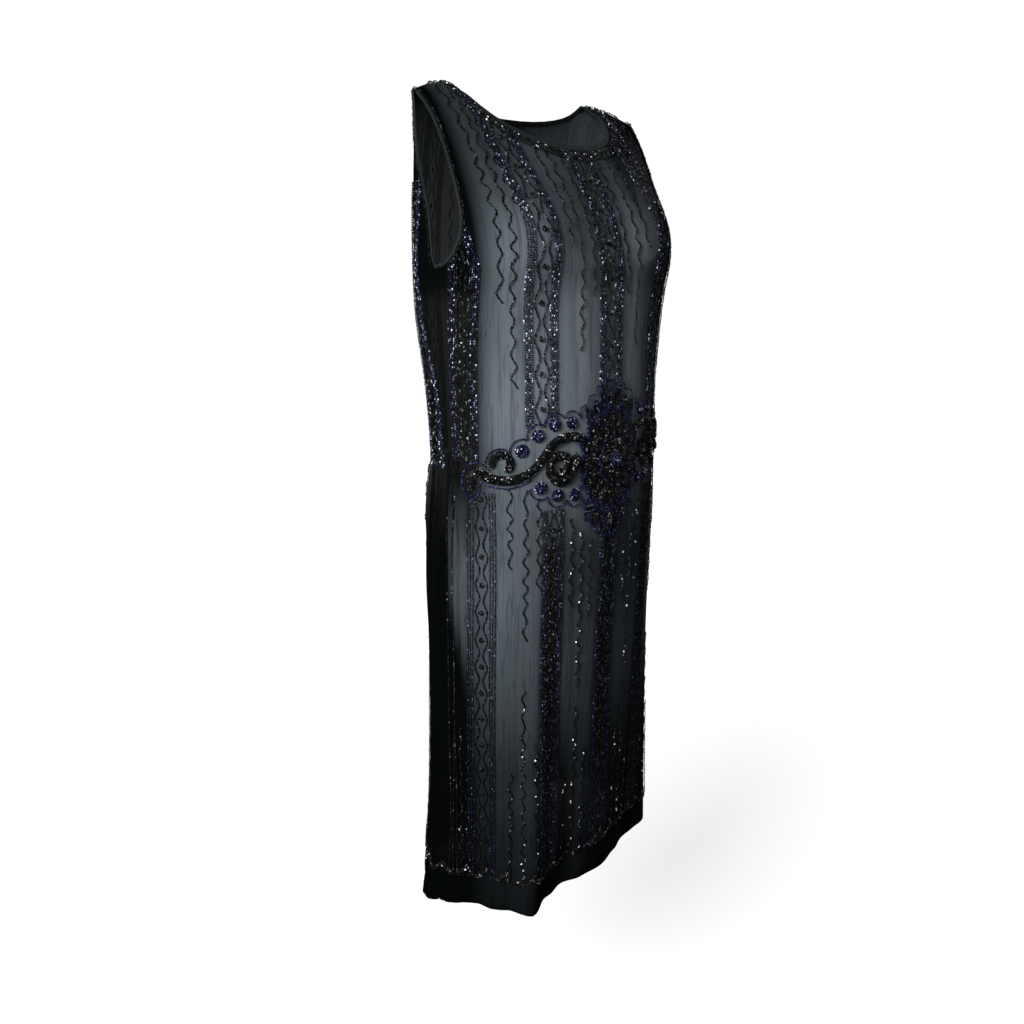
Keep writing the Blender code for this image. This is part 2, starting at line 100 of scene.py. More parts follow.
studio = {
    "floorZ": -1.47,
    "floorSides": 64,
    "floorRings": [(0.0, 0.0), (0.6, 0.0), (1.4, 0.0), (2.4, 0.0), (3.2, 0.0), (4.6, 0.02), (6.0, 0.12)],
    "floorGlow": (0.3, 2.6, 0.66),      # how far out it starts and ends, and how strong it starts
    "airLight": 0.055,
    "aimedAt": (0.0, -0.05, -0.5),
    "lights": [
        # name, azimuth from the front (minus is the wearer's right), elevation, distance, size, power
        ("keySoftbox", -80.0, 24.0, 2.6, 1.1, 175.0),
        ("farSoftbox", 80.0, 28.0, 2.8, 1.2, 26.0),
        ("backSoftbox", 165.0, 40.0, 2.8, 1.4, 34.0),
        ("topSoftbox", -150.0, 60.0, 2.8, 1.4, 14.0),
    ],
}
for name, azimuth, elevation, distance, size, power in studio["lights"]:
    lamp = bpy.data.lights.new(name, "AREA")
    lamp.shape = "DISK"
    lamp.size = size
    lamp.energy = power
    lightObject = bpy.data.objects.new(name, lamp)
    turn, rise = math.radians(azimuth), math.radians(elevation)
    offset = Vector((math.sin(turn) * math.cos(rise), -math.cos(turn) * math.cos(rise), math.sin(rise)))
    lightObject.location = Vector(studio["aimedAt"]) + offset * distance
    lightObject.rotation_euler = (-offset).to_track_quat("-Z", "Y").to_euler()
    scene.collection.objects.link(lightObject)

world = bpy.data.worlds.new("studioAir")
scene.world = world
world.use_nodes = True
air = world.node_tree
seen = addNode(air, "ShaderNodeLightPath")
brightness = addNode(air, "ShaderNodeMapRange", None,  # white to look at, but dim as a light
                     {"Value": seen.outputs["Is Camera Ray"], "To Min": studio["airLight"], "To Max": 1.0})
setInputs(air, air.nodes["Background"], {"Color": linear("#ffffff"), "Strength": brightness})

floorMesh = bpy.data.meshes.new("paleFloor")
rings, sides = studio["floorRings"], studio["floorSides"]
points, faces = [], []
for out, rise in rings:
    for k in range(sides):
        angle = 2 * math.pi * k / sides
        points.append((out * math.cos(angle), out * math.sin(angle), studio["floorZ"] + rise))
for first in range(0, sides * (len(rings) - 1), sides):
    for k in range(sides):
        after = (k + 1) % sides
        faces.append((first + k, first + sides + k, first + sides + after, first + after))
floorMesh.from_pydata(points, [], faces)
floorMesh.shade_smooth()
floor = bpy.data.objects.new("paleFloor", floorMesh)
scene.collection.objects.link(floor)

# Seamless paper: matt, and lit evenly so that it fades into the white air beyond its edge.
floorMaterial, tree, shader = newMaterial("matt white studio paper")
place = addNode(tree, "ShaderNodeTexCoord")
flatPlace = addNode(tree, "ShaderNodeVectorMath", {"operation": "MULTIPLY"},
                    {0: place.outputs["Object"], 1: (1.0, 1.0, 0.0)})
away = addNode(tree, "ShaderNodeVectorMath", {"operation": "LENGTH"}, {0: flatPlace})
glowFrom, glowTo, glowLeast = studio["floorGlow"]
glow = addNode(tree, "ShaderNodeMapRange", {"interpolation_type": "SMOOTHSTEP"},
               {"Value": away, "From Min": glowFrom, "From Max": glowTo, "To Min": glowLeast, "To Max": 1.0})
seen = addNode(tree, "ShaderNodeLightPath")
lit = addNode(tree, "ShaderNodeMath", {"operation": "MULTIPLY"},
              {0: glow, 1: seen.outputs["Is Camera Ray"]})
setInputs(tree, shader, {"Base Color": linear("#8c8c8c"), "Roughness": 0.9, "Emission Strength": lit,
                         "Emission Color": linear("#ffffff")})
floorMesh.materials.append(floorMaterial)
report("studio")

# The form that the cloth follows: rings up to the chest line, and from there a slope to the shoulders.
clothForm = {
    "wall": 0.0012,           # of the solid panels, whose middle the thin cloth follows
    "fineness": {"levels": 190, "shares": 181, "turns": 241, "smoothing": 0.02},
    "chestZ": -0.212,
    "waistZ": -0.455,
    "hemZ": -1.074,
    "neckHalfWidth": 0.125,
    "neckDrop": {"front": 0.066, "back": 0.026},
    "neckRoundness": 2.3,
    "neckBinding": 0.006,
    "shoulderDrop": 0.017,
    "shoulderArch": 0.003,
    "shoulderForward": 0.023,
    "strapEnd": 0.198,
    "roundness": 2.3,
    "slopeRoundness": {"front": 1.45, "back": 1.9},
    "sections": [
        # z,     half width, front, side,   back
        (-1.074, 0.201, -0.152, -0.042, 0.069),
        (-1.000, 0.196, -0.154, -0.047, 0.063),
        (-0.750, 0.189, -0.157, -0.052, 0.056),
        (-0.550, 0.187, -0.161, -0.053, 0.055),
        (-0.450, 0.183, -0.161, -0.053, 0.054),
        (-0.350, 0.187, -0.158, -0.051, 0.058),
        (-0.260, 0.200, -0.156, -0.054, 0.060),
        (-0.212, 0.206, -0.155, -0.060, 0.057),
    ],
    "armhole": {
        "front": {"depth": 0.175, "turnEnd": 0.36, "flare": 0.050, "power": 7, "hollow": 0.0},
        "back": {"depth": 0.025, "turnEnd": 0.16, "flare": -0.095, "power": 2, "hollow": 0.06},
    },
    "bust": {"share": 0.48, "z": -0.163, "wide": 0.24, "high": 0.055, "deep": 0.018},
    "hemRiseFrom": (0.90, 1.07),  # metres down where the hem's rise begins and is full
    "hemRise": {
        "front": [
            (-1.0, 0.009), (-0.86, 0.011), (-0.78, 0.009), (-0.71, 0.001), (-0.62, -0.002), (-0.50, -0.008),
            (-0.36, 0.0), (0.3, 0.003), (1.0, 0.0),
        ],
        "back": [
            (-1.0, 0.006), (-0.93, -0.004), (-0.82, -0.007), (-0.6, -0.004), (-0.3, -0.003), (0.2, 0.003),
            (0.6, -0.003), (1.0, 0.0),
        ],
    },
    "gathers": {"front": (0.875, 3), "back": (0.60, 7)},  # share where they start, and how many
    "gatherDepth": [(0.0, 0.0003), (0.025, 0.0019), (0.12, 0.0024), (0.30, 0.0015), (0.64, 0.0003)],
    "foldGrowth": 1.4,        # folds deepen faster and faster towards the hem
    "folds": {
        "front": [
            # share, half width in share, depth at the hem, height where it dies out
            (-0.97, 0.15, 0.010, -0.88),
            (-0.76, 0.15, -0.005, -0.70),
            (-0.50, 0.12, 0.018, -0.60),
            (-0.24, 0.13, -0.009, -0.70),
            (0.04, 0.16, 0.005, -0.76),
            (0.34, 0.15, -0.006, -0.72),
            (0.60, 0.15, 0.010, -0.64),
        ],
        "back": [
            (-1.00, 0.14, 0.009, -0.88),
            (-0.87, 0.13, 0.008, -1.00),
            (-0.58, 0.18, 0.008, -0.66),
            (-0.20, 0.18, -0.006, -0.72),
            (0.16, 0.20, 0.007, -0.68),
            (0.56, 0.15, 0.006, -0.66),
        ],
    },
}
chestZ, waistZ, hemZ = clothForm["chestZ"], clothForm["waistZ"], clothForm["hemZ"]


def smoothTable(table, at):  # the table's other columns at values of its first, by a smooth curve
    table = np.array(table, float)
    keys, values = table[:, 0], table[:, 1:]
    slopes = np.gradient(values, keys, axis=0)
    at = np.asarray(at, float)
    i = np.clip(np.searchsorted(keys, at) - 1, 0, len(keys) - 2)
    span = keys[i + 1] - keys[i]
    t = np.clip((at - keys[i]) / span, 0.0, 1.0)[..., None]
    span = span[..., None]
    return (
        (1 + 2 * t) * (1 - t) ** 2 * values[i]
        + t * (1 - t) ** 2 * span * slopes[i]
        + t**2 * (3 - 2 * t) * values[i + 1]
        + t**2 * (t - 1) * span * slopes[i + 1]
    )


def outlineTable(panel):
    # By height and by share of the outline: x, the distance from the side line and the way outward.
    fineness = clothForm["fineness"]
    levels = np.linspace(hemZ - 0.004, chestZ, fineness["levels"])
    shares = np.linspace(0.0, 1.0, fineness["shares"])
    rows, lengths = [], []
    turn = np.linspace(0.0, math.pi / 2, fineness["turns"])
    for halfWidth, front, side, back in smoothTable(clothForm["sections"], levels):
        depth = side - front if panel == "front" else back - side
        x = halfWidth * np.sin(turn) ** (2 / clothForm["roundness"])
        y = depth * np.maximum(0.0, np.cos(turn)) ** (2 / clothForm["roundness"])
        length = np.concatenate([[0.0], np.cumsum(np.hypot(np.diff(x), np.diff(y)))])
        at = shares * length[-1]
        near = np.maximum(0.0, at - fineness["smoothing"] * length[-1])
        far = np.minimum(length[-1], at + fineness["smoothing"] * length[-1])
        dx = np.interp(far, length, x) - np.interp(near, length, x)
        dy = np.interp(far, length, y) - np.interp(near, length, y)
        size = np.hypot(dx, dy)
        rows.append(np.stack([np.interp(at, length, x), np.interp(at, length, y), -dy / size, dx / size], -1))
        lengths.append(length[-1])
    return levels, shares, np.array(rows), np.array(lengths)


outlines = {panel: outlineTable(panel) for panel in ("front", "back")}


def outlineAt(panel, share, z):  # from outlineTable, between its rows
    levels, shares, table, _ = outlines[panel]
    row = np.clip((z - levels[0]) / (levels[1] - levels[0]), 0, len(levels) - 1.0001)
    column = np.clip(share / (shares[1] - shares[0]), 0, len(shares) - 1.0001)
    i, j = row.astype(int), column.astype(int)
    a, b = (row - i)[..., None], (column - j)[..., None]
    low = table[i, j] * (1 - b) + table[i, j + 1] * b
    high = table[i + 1, j] * (1 - b) + table[i + 1, j + 1] * b
    return np.moveaxis(low * (1 - a) + high * a, -1, 0)


def halfLength(panel, z):  # from the centre line to the side seam, along the cloth
    levels, _, _, lengths = outlines[panel]
    return np.interp(np.minimum(z, chestZ), levels, lengths)


def bump(value):  # 1 at 0 and 0 from 1 on, round at both
    return 0.5 + 0.5 * np.cos(math.pi * np.minimum(1.0, np.abs(value)))


def gatherPush(panel, share, z):  # how far the cloth stands out, here for gathers, and so on below
    start, count = clothForm["gathers"][panel]
    part = (np.abs(share) - start) / (1.0 - start)
    depth = smoothTable(clothForm["gatherDepth"], waistZ - z)[..., 0]
    push = depth * (1.0 - np.cos(2 * math.pi * count * part))
    return np.where((part > 0.0) & (z < waistZ), push, 0.0)


def foldPush(panel, share, z):
    push = np.zeros_like(z)
    for middle, halfWidth, depth, top in clothForm["folds"][panel]:
        fall = np.clip((top - z) / (top - hemZ), 0.0, None)
        push += depth * fall ** clothForm["foldGrowth"] * bump((share - middle) / halfWidth)
    return push


def handStray(rule, along, start=1.0):  # what a sewing hand leaves uneven: size, pace and shift of a wave
    size, pace, shift = rule
    return size * np.sin(pace * along + shift * start)


def climb(path):  # the length along a path, up to each of its points
    return np.concatenate([[0.0], np.cumsum(np.linalg.norm(np.diff(path, axis=0), axis=1))])


def softStep(value, start, end):
    part = np.clip((value - start) / (end - start), 0.0, 1.0)
    return part * part * (3.0 - 2.0 * part)


def hemRise(panel, share):  # the hem hangs a little higher or lower from place to place
    shares, rises = np.array(clothForm["hemRise"][panel]).T
    return np.interp(share, shares, rises)


def bustPush(panel, share, z):
    if panel == "back":
        return np.zeros_like(z)
    rule = clothForm["bust"]
    across = (np.abs(share) - rule["share"]) / rule["wide"]
    up = (z - rule["z"]) / rule["high"]
    return rule["deep"] * np.exp(-across * across - up * up)


def shoulderSeam(x):  # its y and z
    beyond = (np.abs(x) - clothForm["neckHalfWidth"]) / (clothForm["strapEnd"] - clothForm["neckHalfWidth"])
    beyond = np.maximum(0.0, beyond)
    arch = clothForm["shoulderArch"] * np.sin(math.pi * np.minimum(1.0, beyond))
    return -clothForm["shoulderForward"] * beyond, arch - clothForm["shoulderDrop"] * beyond


def formPoint(panel, share, level):
    # A negative level is metres below the chest line, and a positive one the part of the way up the slope.
    share, level = np.broadcast_arrays(np.asarray(share, float), np.asarray(level, float))
    forward = -1.0 if panel == "front" else 1.0
    z = chestZ + np.minimum(level, 0.0)
    z = z + hemRise(panel, share) * softStep(-z, *clothForm["hemRiseFrom"])
    x, y, outX, outY = outlineAt(panel, np.minimum(np.abs(share), 1.0), z)
    push = gatherPush(panel, share, z) + foldPush(panel, share, z)
    x = np.copysign(x + outX * push, share)
    side = smoothTable(clothForm["sections"], z)[..., 2]
    y = side + forward * (y + outY * push + bustPush(panel, share, z))
    turn = np.clip(level, 0.0, 1.0) * math.pi / 2
    power = 2 / clothForm["slopeRoundness"][panel]
    rise, fall = np.sin(turn) ** power, np.maximum(0.0, np.cos(turn)) ** power
    seamY, seamZ = shoulderSeam(x)
    high = z + (seamZ - z) * rise
    fullness = bustPush(panel, share, high) - bustPush(panel, share, z) * fall
    y = np.where(level > 0.0, seamY + (y - seamY) * fall + forward * fullness, y)
    return np.stack([x, y, high], -1)


# Creases laid over the form: at the gathers, under the bust, and near the hem.
clothCreases = {
    "halfAround": 0.28,       # metres from the centre line to the side, to turn shares into widths
    "bend": 0.8,              # how soon a crease leaves the way it starts in
    "taper": (0.6, 0.8),
    "front": [
        # share and z at the top, share and z at the foot, half width, depth (plus is a ridge)
        (-0.985, -0.452, -0.905, -0.80, 0.0045, 0.0022),
        (-0.955, -0.458, -0.845, -0.70, 0.0055, -0.0026),
        (-0.925, -0.456, -0.780, -0.92, 0.0060, 0.0024),
        (-0.900, -0.462, -0.735, -0.66, 0.0045, -0.0018),
        (-0.880, -0.470, -0.690, -0.57, 0.0050, 0.0012),
        (0.980, -0.452, 0.915, -0.74, 0.0050, 0.0022),
        (0.950, -0.456, 0.850, -0.84, 0.0050, -0.0024),
        (0.915, -0.460, 0.770, -0.68, 0.0060, 0.0021),
        (0.895, -0.458, 0.720, -0.96, 0.0050, -0.0016),
        (-0.62, -0.235, -0.58, -0.41, 0.0060, 0.0009),
        (-0.57, -0.260, -0.52, -0.43, 0.0045, -0.0008),
        (-0.21, -0.215, -0.16, -0.36, 0.0060, 0.0010),
        (-0.27, -0.230, -0.23, -0.41, 0.0045, -0.0008),
        (0.23, -0.215, 0.18, -0.38, 0.0055, 0.0009),
        (0.59, -0.240, 0.55, -0.42, 0.0055, 0.0009),
        (-0.50, -0.49, -0.49, -0.72, 0.0050, -0.0008),
        (-0.24, -0.52, -0.25, -0.78, 0.0060, -0.0010),
        (0.22, -0.50, 0.24, -0.74, 0.0060, 0.0010),
        (0.50, -0.50, 0.48, -0.70, 0.0050, -0.0009),
        (-0.93, -0.25, -0.86, -0.44, 0.0060, 0.0012),
        (0.92, -0.24, 0.87, -0.42, 0.0060, 0.0012),
        (-0.34, -0.86, -0.36, -1.09, 0.0110, 0.0030),
        (0.16, -0.90, 0.19, -1.09, 0.0120, -0.0030),
        (-0.88, -0.84, -0.90, -1.09, 0.0100, -0.0024),
    ],
    "back": [
        (-0.970, -0.452, -0.900, -0.76, 0.0050, 0.0022),
        (-0.910, -0.458, -0.820, -0.86, 0.0055, -0.0024),
        (-0.830, -0.456, -0.730, -0.68, 0.0060, 0.0022),
        (-0.740, -0.460, -0.640, -0.90, 0.0050, -0.0020),
        (-0.660, -0.458, -0.560, -0.64, 0.0050, 0.0016),
        (0.965, -0.452, 0.905, -0.82, 0.0050, 0.0021),
        (0.900, -0.458, 0.815, -0.70, 0.0055, -0.0024),
        (0.820, -0.456, 0.735, -0.92, 0.0060, 0.0020),
        (0.735, -0.460, 0.650, -0.66, 0.0050, -0.0018),
        (0.650, -0.458, 0.545, -0.80, 0.0050, 0.0016),
        (-0.50, -0.12, -0.36, -0.30, 0.0070, 0.0012),
        (0.47, -0.13, 0.35, -0.33, 0.0070, 0.0012),
        (-0.22, -0.22, -0.18, -0.42, 0.0060, -0.0009),
        (0.20, -0.24, 0.24, -0.43, 0.0055, 0.0009),
        (-0.30, -0.84, -0.33, -1.09, 0.0110, 0.0028),
        (0.34, -0.88, 0.30, -1.09, 0.0110, -0.0028),
    ],
}


def creasePush(panel, share, z):
    push = np.zeros_like(z)
    early, blunt = clothCreases["taper"]
    for topShare, topZ, footShare, footZ, halfWidth, depth in clothCreases[panel]:
        along = np.clip((topZ - z) / (topZ - footZ), 0.0, 1.0)
        middle = topShare + (footShare - topShare) * along ** clothCreases["bend"]
        away = (share - middle) * clothCreases["halfAround"] / halfWidth
        taper = np.sin(math.pi * along**early) ** blunt
        push += depth * taper * np.exp(-away * away)
    return push


def clothPoint(panel, share, level, lift=0.0):  # a place over the middle of the cloth
    share, level = np.broadcast_arrays(np.asarray(share, float), np.asarray(level, float))
    step = 0.004  # to the points beside it, which give the way outward
    here = formPoint(panel, share, level)
    along = formPoint(panel, share + step, level) - formPoint(panel, share - step, level)
    up = formPoint(panel, share, level + step) - formPoint(panel, share, level - step)
    out = np.cross(along, up) * (1.0 if panel == "front" else -1.0)
    out /= np.maximum(1e-12, np.linalg.norm(out, axis=-1, keepdims=True))
    push = clothForm["wall"] / 2 + creasePush(panel, share, here[..., 2]) + lift
    return here + out * push[..., None]


def armholeShare(panel, level):  # where the cloth ends at the armhole
    rule = clothForm["armhole"][panel]
    turn = np.clip(level, 0.0, 1.0) * math.pi / 2
    rise = np.sin(turn) ** (2 / clothForm["slopeRoundness"][panel])
    left = 1.0 - np.minimum(1.0, rise / rule["turnEnd"])
    past = np.maximum(0.0, rise - rule["turnEnd"]) / (1.0 - rule["turnEnd"])
    cut = rule["depth"] * np.sqrt(1.0 - left * left) + rule["hollow"] * np.sin(math.pi * past * past)
    return 1.0 - cut + rule["flare"] * past ** rule["power"]


def chestShare(panel, x):  # at the chest line
    _, shares, table, _ = outlines[panel]
    return np.interp(x, table[-1, :, 0], shares)


def chestX(panel, share):
    _, shares, table, _ = outlines[panel]
    return np.interp(np.abs(share), shares, table[-1, :, 0])


def neckLevel(panel, share, grow):  # the level where the cloth ends at the neck, or the shoulder's
    wide = clothForm["neckHalfWidth"] + grow
    x = np.minimum(chestX(panel, share), wide)
    power = clothForm["neckRoundness"]
    drop = (clothForm["neckDrop"][panel] + grow) * (1.0 - (x / wide) ** power) ** (1 / power)
    seamZ = shoulderSeam(x)[1]
    rise = np.clip((seamZ - drop - chestZ) / (seamZ - chestZ), 0.0, 1.0)
    level = np.arcsin(rise ** (clothForm["slopeRoundness"][panel] / 2)) / (math.pi / 2)
    return np.where(x >= wide - 1e-6, 1.0, level)


def levelAt(panel, share, z):  # the level that formPoint needs for a height
    seamZ = shoulderSeam(chestX(panel, share))[1]
    rise = np.clip((z - chestZ) / (seamZ - chestZ), 0.0, 1.0)
    up = np.arcsin(rise ** (clothForm["slopeRoundness"][panel] / 2)) / (math.pi / 2)
    return np.where(z < chestZ, z - chestZ, up)


# The silk chiffon panels, each from the turned-up hem to the neck and shoulders in one piece.
chiffonPanel = {
    "neckColumns": 52,
    "sideColumns": 46,        # from each neck end to the side seam, closer towards it
    "slopeRows": 34,
    "bodiceRows": 30,
    "skirtRows": 74,
    "neckTuck": 0.004,        # the edge runs this far from the neckline, under the binding
    "hemTurn": 0.070,
    "hemRows": 9,
    "hemLayers": 0.0013,      # between the two layers of the turned-up hem
    "hemWobble": [(0.0016, 21.0, 0.0), (0.0010, 47.0, 1.0)],  # the turn-up was folded by hand
    "slopeSpacing": 1.15,     # rows lie closer near the chest line
    "sideSpacing": 1.25,      # and columns near the sides
}


def panelGrid(panel):  # the shares, levels and lifts of its points
    rule = chiffonPanel
    slope = np.linspace(0.0, 1.0, rule["slopeRows"]) ** rule["slopeSpacing"]
    neckHalf = clothForm["neckHalfWidth"] + rule["neckTuck"]
    neckEnd = float(chestShare(panel, neckHalf))
    low = np.linspace(-neckEnd, neckEnd, rule["neckColumns"] + 1)
    angle = np.abs(low) / neckEnd * math.pi / 2
    topX = neckHalf * np.sin(angle) ** (2 / clothForm["neckRoundness"])
    topShare = np.copysign(chestShare(panel, topX), low)
    topLevel = neckLevel(panel, topShare, rule["neckTuck"])
    middleShares = low + (topShare - low) * slope[:, None]
    middleLevels = slope[:, None] * topLevel
    part = 1.0 - (1.0 - np.linspace(0.0, 1.0, rule["sideColumns"] + 1)[1:]) ** rule["sideSpacing"]
    sideShares = neckEnd + (armholeShare(panel, slope)[:, None] - neckEnd) * part
    sideLevels = np.repeat(slope[:, None], len(part), axis=1)
    shares = np.hstack([-sideShares[:, ::-1], middleShares, sideShares])
    levels = np.hstack([sideLevels, middleLevels, sideLevels])
    lowShares = shares[0]
    bodice = np.linspace(waistZ, chestZ, rule["bodiceRows"] + 1)[:-1] - chestZ
    skirt = np.linspace(hemZ, waistZ, rule["skirtRows"] + 1)[:-1] - chestZ
    lowLevels = np.concatenate([skirt, bodice])
    turnUp = np.linspace(hemZ + rule["hemTurn"], hemZ + 0.0006, rule["hemRows"]) - chestZ
    fold = np.array([hemZ - chestZ - 0.0001])
    levelColumn = np.concatenate([turnUp, fold, lowLevels])
    inner = np.full(rule["hemRows"], -rule["hemLayers"])
    lifts = np.concatenate([inner, [-rule["hemLayers"] / 2], np.zeros(len(lowLevels))])
    lowGrid = np.repeat(levelColumn[:, None], len(lowShares), axis=1)
    lowGrid[0] += sum(handStray(wobble, lowShares) for wobble in rule["hemWobble"])
    shares = np.vstack([np.repeat(lowShares[None], len(levelColumn), axis=0), shares])
    levels = np.vstack([lowGrid, levels])
    lifts = np.concatenate([lifts, np.zeros(len(slope))])
    return shares, levels, np.repeat(lifts[:, None], shares.shape[1], axis=1)


# Painted light and shade on the chiffon, by height and by distance from the centre line, and how much it
# covers.
chiffonPaintedLight = {
    "byHeight": [
        # z, how much painted light the cloth takes there, how much it covers
        (-1.074, 0.02, 0.999), (-0.96, 0.045, 0.999), (-0.865, 0.085, 0.996), (-0.78, 0.20, 0.98),
        (-0.70, 0.34, 0.955), (-0.62, 0.46, 0.94), (-0.56, 0.50, 0.925), (-0.47, 0.66, 0.91),
        (-0.375, 0.98, 0.905), (-0.28, 0.88, 0.90), (-0.20, 0.80, 0.90), (-0.175, 0.68, 0.90),
        (-0.15, 0.48, 0.90), (-0.127, 0.32, 0.90), (-0.083, 0.25, 0.905), (0.01, 0.24, 0.92),
    ],
    "across": {
        # distance from the centre line, how much painted light
        "bodice": [
            (0.0, 0.68), (0.03, 0.92), (0.065, 1.35), (0.095, 1.00), (0.155, 0.70), (0.172, 0.62),
            (0.198, 0.0), (0.3, 0.0),
        ],
        "hip": [
            (0.0, 0.24), (0.016, 0.24), (0.023, 0.50), (0.080, 0.50), (0.087, 0.32), (0.113, 0.36),
            (0.120, 1.0), (0.165, 1.0), (0.200, 0.55), (0.3, 0.50),
        ],
        "knee": [
            (0.0, 0.30), (0.016, 0.30), (0.023, 1.20), (0.080, 1.20), (0.087, 0.40), (0.113, 0.45),
            (0.120, 1.0), (0.165, 1.0), (0.200, 0.50), (0.3, 0.40),
        ],
    },
    "bodiceToHip": (0.46, 0.58),  # metres down where one gives way to the next
    "hipToKnee": (0.58, 0.78),
    "skirtEdge": (0.246, 0.214),  # where it ends at the side, at hip height and at the knee
    "edgeFade": (0.024, 0.002),   # how far inside that edge it starts to fade, and outside it is gone
    "backEdge": (0.58, 0.74),     # and between these shares of the back
    # painted shade on the front's far side, the wearer's left, away from the key light
    "farSide": (0.050, 0.085),
    "farSideShade": 0.62,
    "moreCover": 0.085,           # at the skirt's sides, and above the bust beside the neckline
    "coverSide": (0.20, 0.235),
    "coverBust": (0.045, 0.075),
    "coverBustZ": (-0.26, -0.22),
    "mostCover": 0.999,
}


def paintedLightAt(panel, share, z):
    # Painted light on the cloth, in place of light shining through it and falling on it: lightest over the
    # middle of the panels, with painted shade at the sides, on the far side and towards the hem; it is darker
    # too where the cloth is gathered or doubled. The cover is how little shows through it.
    rule = chiffonPaintedLight
    across = np.abs(share) * halfLength("front", z)
    keys, light, cover = np.array(rule["byHeight"]).T
    bodice, hip, knee = (np.interp(across, *np.array(table).T) for table in rule["across"].values())
    skirt = softStep(-z, *rule["bodiceToHip"])
    lower = softStep(-z, *rule["hipToKnee"])
    hipEdge, kneeEdge = rule["skirtEdge"]
    edge = hipEdge + (kneeEdge - hipEdge) * lower
    inside, outside = rule["edgeFade"]
    skirtShare = (hip + (knee - hip) * lower) * (1.0 - softStep(across, edge - inside, edge + outside))
    if panel == "back":
        skirtShare = skirtShare * (1.0 - softStep(np.abs(share), *rule["backEdge"]))
    paintedLight = np.interp(z, keys, light) * (bodice * (1.0 - skirt) + skirtShare * skirt)
    upper = 1.0
    if panel == "front":  # painted shade on the wearer's left, away from the key light at the wearer's right
        away = softStep(share * halfLength("front", z), *rule["farSide"])
        paintedLight = paintedLight * (1.0 - away * (1.0 - skirt) * rule["farSideShade"])
        upper = softStep(across, *rule["coverBust"])
    beside = softStep(across, *rule["coverSide"]) * skirt + upper * softStep(z, *rule["coverBustZ"])
    return paintedLight, np.minimum(np.interp(z, keys, cover) + rule["moreCover"] * beside, rule["mostCover"])


def buildPanel(name, panel, material):
    shares, levels, lifts = panelGrid(panel)
    points = clothPoint(panel, shares, levels, lifts)
    rows, columns = shares.shape
    faces = []
    for i in range(rows - 1):
        for j in range(columns - 1):
            a = i * columns + j
            quad = (a, a + 1, a + columns + 1, a + columns)
            faces.append(quad if panel == "front" else quad[::-1])
    mesh = bpy.data.meshes.new(name)
    mesh.from_pydata(points.reshape(-1, 3).tolist(), [], faces)
    across = (shares * halfLength(panel, points[..., 2])).reshape(-1)
    flat = np.stack([across, np.repeat(climb(points[:, columns // 2]), columns)], -1)
    uvLayer = mesh.uv_layers.new(name="grain")
    corners = np.empty(len(mesh.loops), int)
    mesh.loops.foreach_get("vertex_index", corners)
    uvLayer.data.foreach_set("uv", flat[corners].ravel())
    for attribute, values in zip(("paintedLight", "cover"), paintedLightAt(panel, shares, points[..., 2])):
        mesh.attributes.new(attribute, "FLOAT", "POINT").data.foreach_set("value", values.ravel())
    mesh.shade_smooth()
    mesh.materials.append(material)
    piece = bpy.data.objects.new(name, mesh)
    scene.collection.objects.link(piece)
    return piece


# Silk chiffon: twisted threads in an open plain weave, so it is sheer, matt and faintly crinkled.
# Its crinkles are about 11 mm wide and 110 mm long, its fine wrinkles 8 by 150 mm, and its threads,
# too fine to show as they are, are drawn 1.4 mm apart.
chiffonLook = {
    "crinkles": (90.0, 9.0, 1.0),     # to a metre, across and along the cloth
    "wrinkles": (130.0, 6.5, 1.0),
    "threads": (700.0, 700.0, 1.0),
    "mottle": 0.36,
    "wrinkleWidth": 0.045,
    "wrinkleShade": 0.66,
    # the cloth's own near-black, and the painted light grey that stands for light through and on the cloth
    "dark": "#030404",
    "light": "#60696f",
}
chiffonMaterial, tree, shader = newMaterial("black silk chiffon")
grain = addNode(tree, "ShaderNodeUVMap", {"uv_map": "grain"})
paintedLightNode = addNode(tree, "ShaderNodeAttribute", {"attribute_name": "paintedLight"})
coverNode = addNode(tree, "ShaderNodeAttribute", {"attribute_name": "cover"})


def clothNoise(pattern, detail, roughness=0.5):
    scaled = addNode(tree, "ShaderNodeMapping", None, {"Vector": grain, "Scale": chiffonLook[pattern]})
    return addNode(tree, "ShaderNodeTexNoise", {"noise_dimensions": "2D"},
                   {"Vector": scaled, "Scale": 1.0, "Detail": detail, "Roughness": roughness})


crinkle = clothNoise("crinkles", 3.0, 0.55)
threads = clothNoise("threads", 1.0)
wrinkle = clothNoise("wrinkles", 2.0)
uneven = addNode(tree, "ShaderNodeMath", {"operation": "MULTIPLY_ADD"},
                 {0: crinkle, 1: chiffonLook["mottle"], 2: -chiffonLook["mottle"] / 2})
fromRidge = addNode(tree, "ShaderNodeMath", {"operation": "SUBTRACT"}, {0: wrinkle, 1: 0.5})
ridgeGap = addNode(tree, "ShaderNodeMath", {"operation": "ABSOLUTE"}, {0: fromRidge})
paintedWrinkleShade = addNode(tree, "ShaderNodeMapRange", {"interpolation_type": "SMOOTHSTEP"},  # painted shade along the fine wrinkles
                {"Value": ridgeGap, "From Max": chiffonLook["wrinkleWidth"],
                 "To Min": chiffonLook["wrinkleShade"], "To Max": 1.0})
mottled = addNode(tree, "ShaderNodeMath", {"operation": "MULTIPLY_ADD"},
                  {0: paintedLightNode.outputs["Fac"], 1: uneven, 2: paintedLightNode.outputs["Fac"]})
shade = addNode(tree, "ShaderNodeMath", {"operation": "MULTIPLY", "use_clamp": True},
                {0: mottled, 1: paintedWrinkleShade})
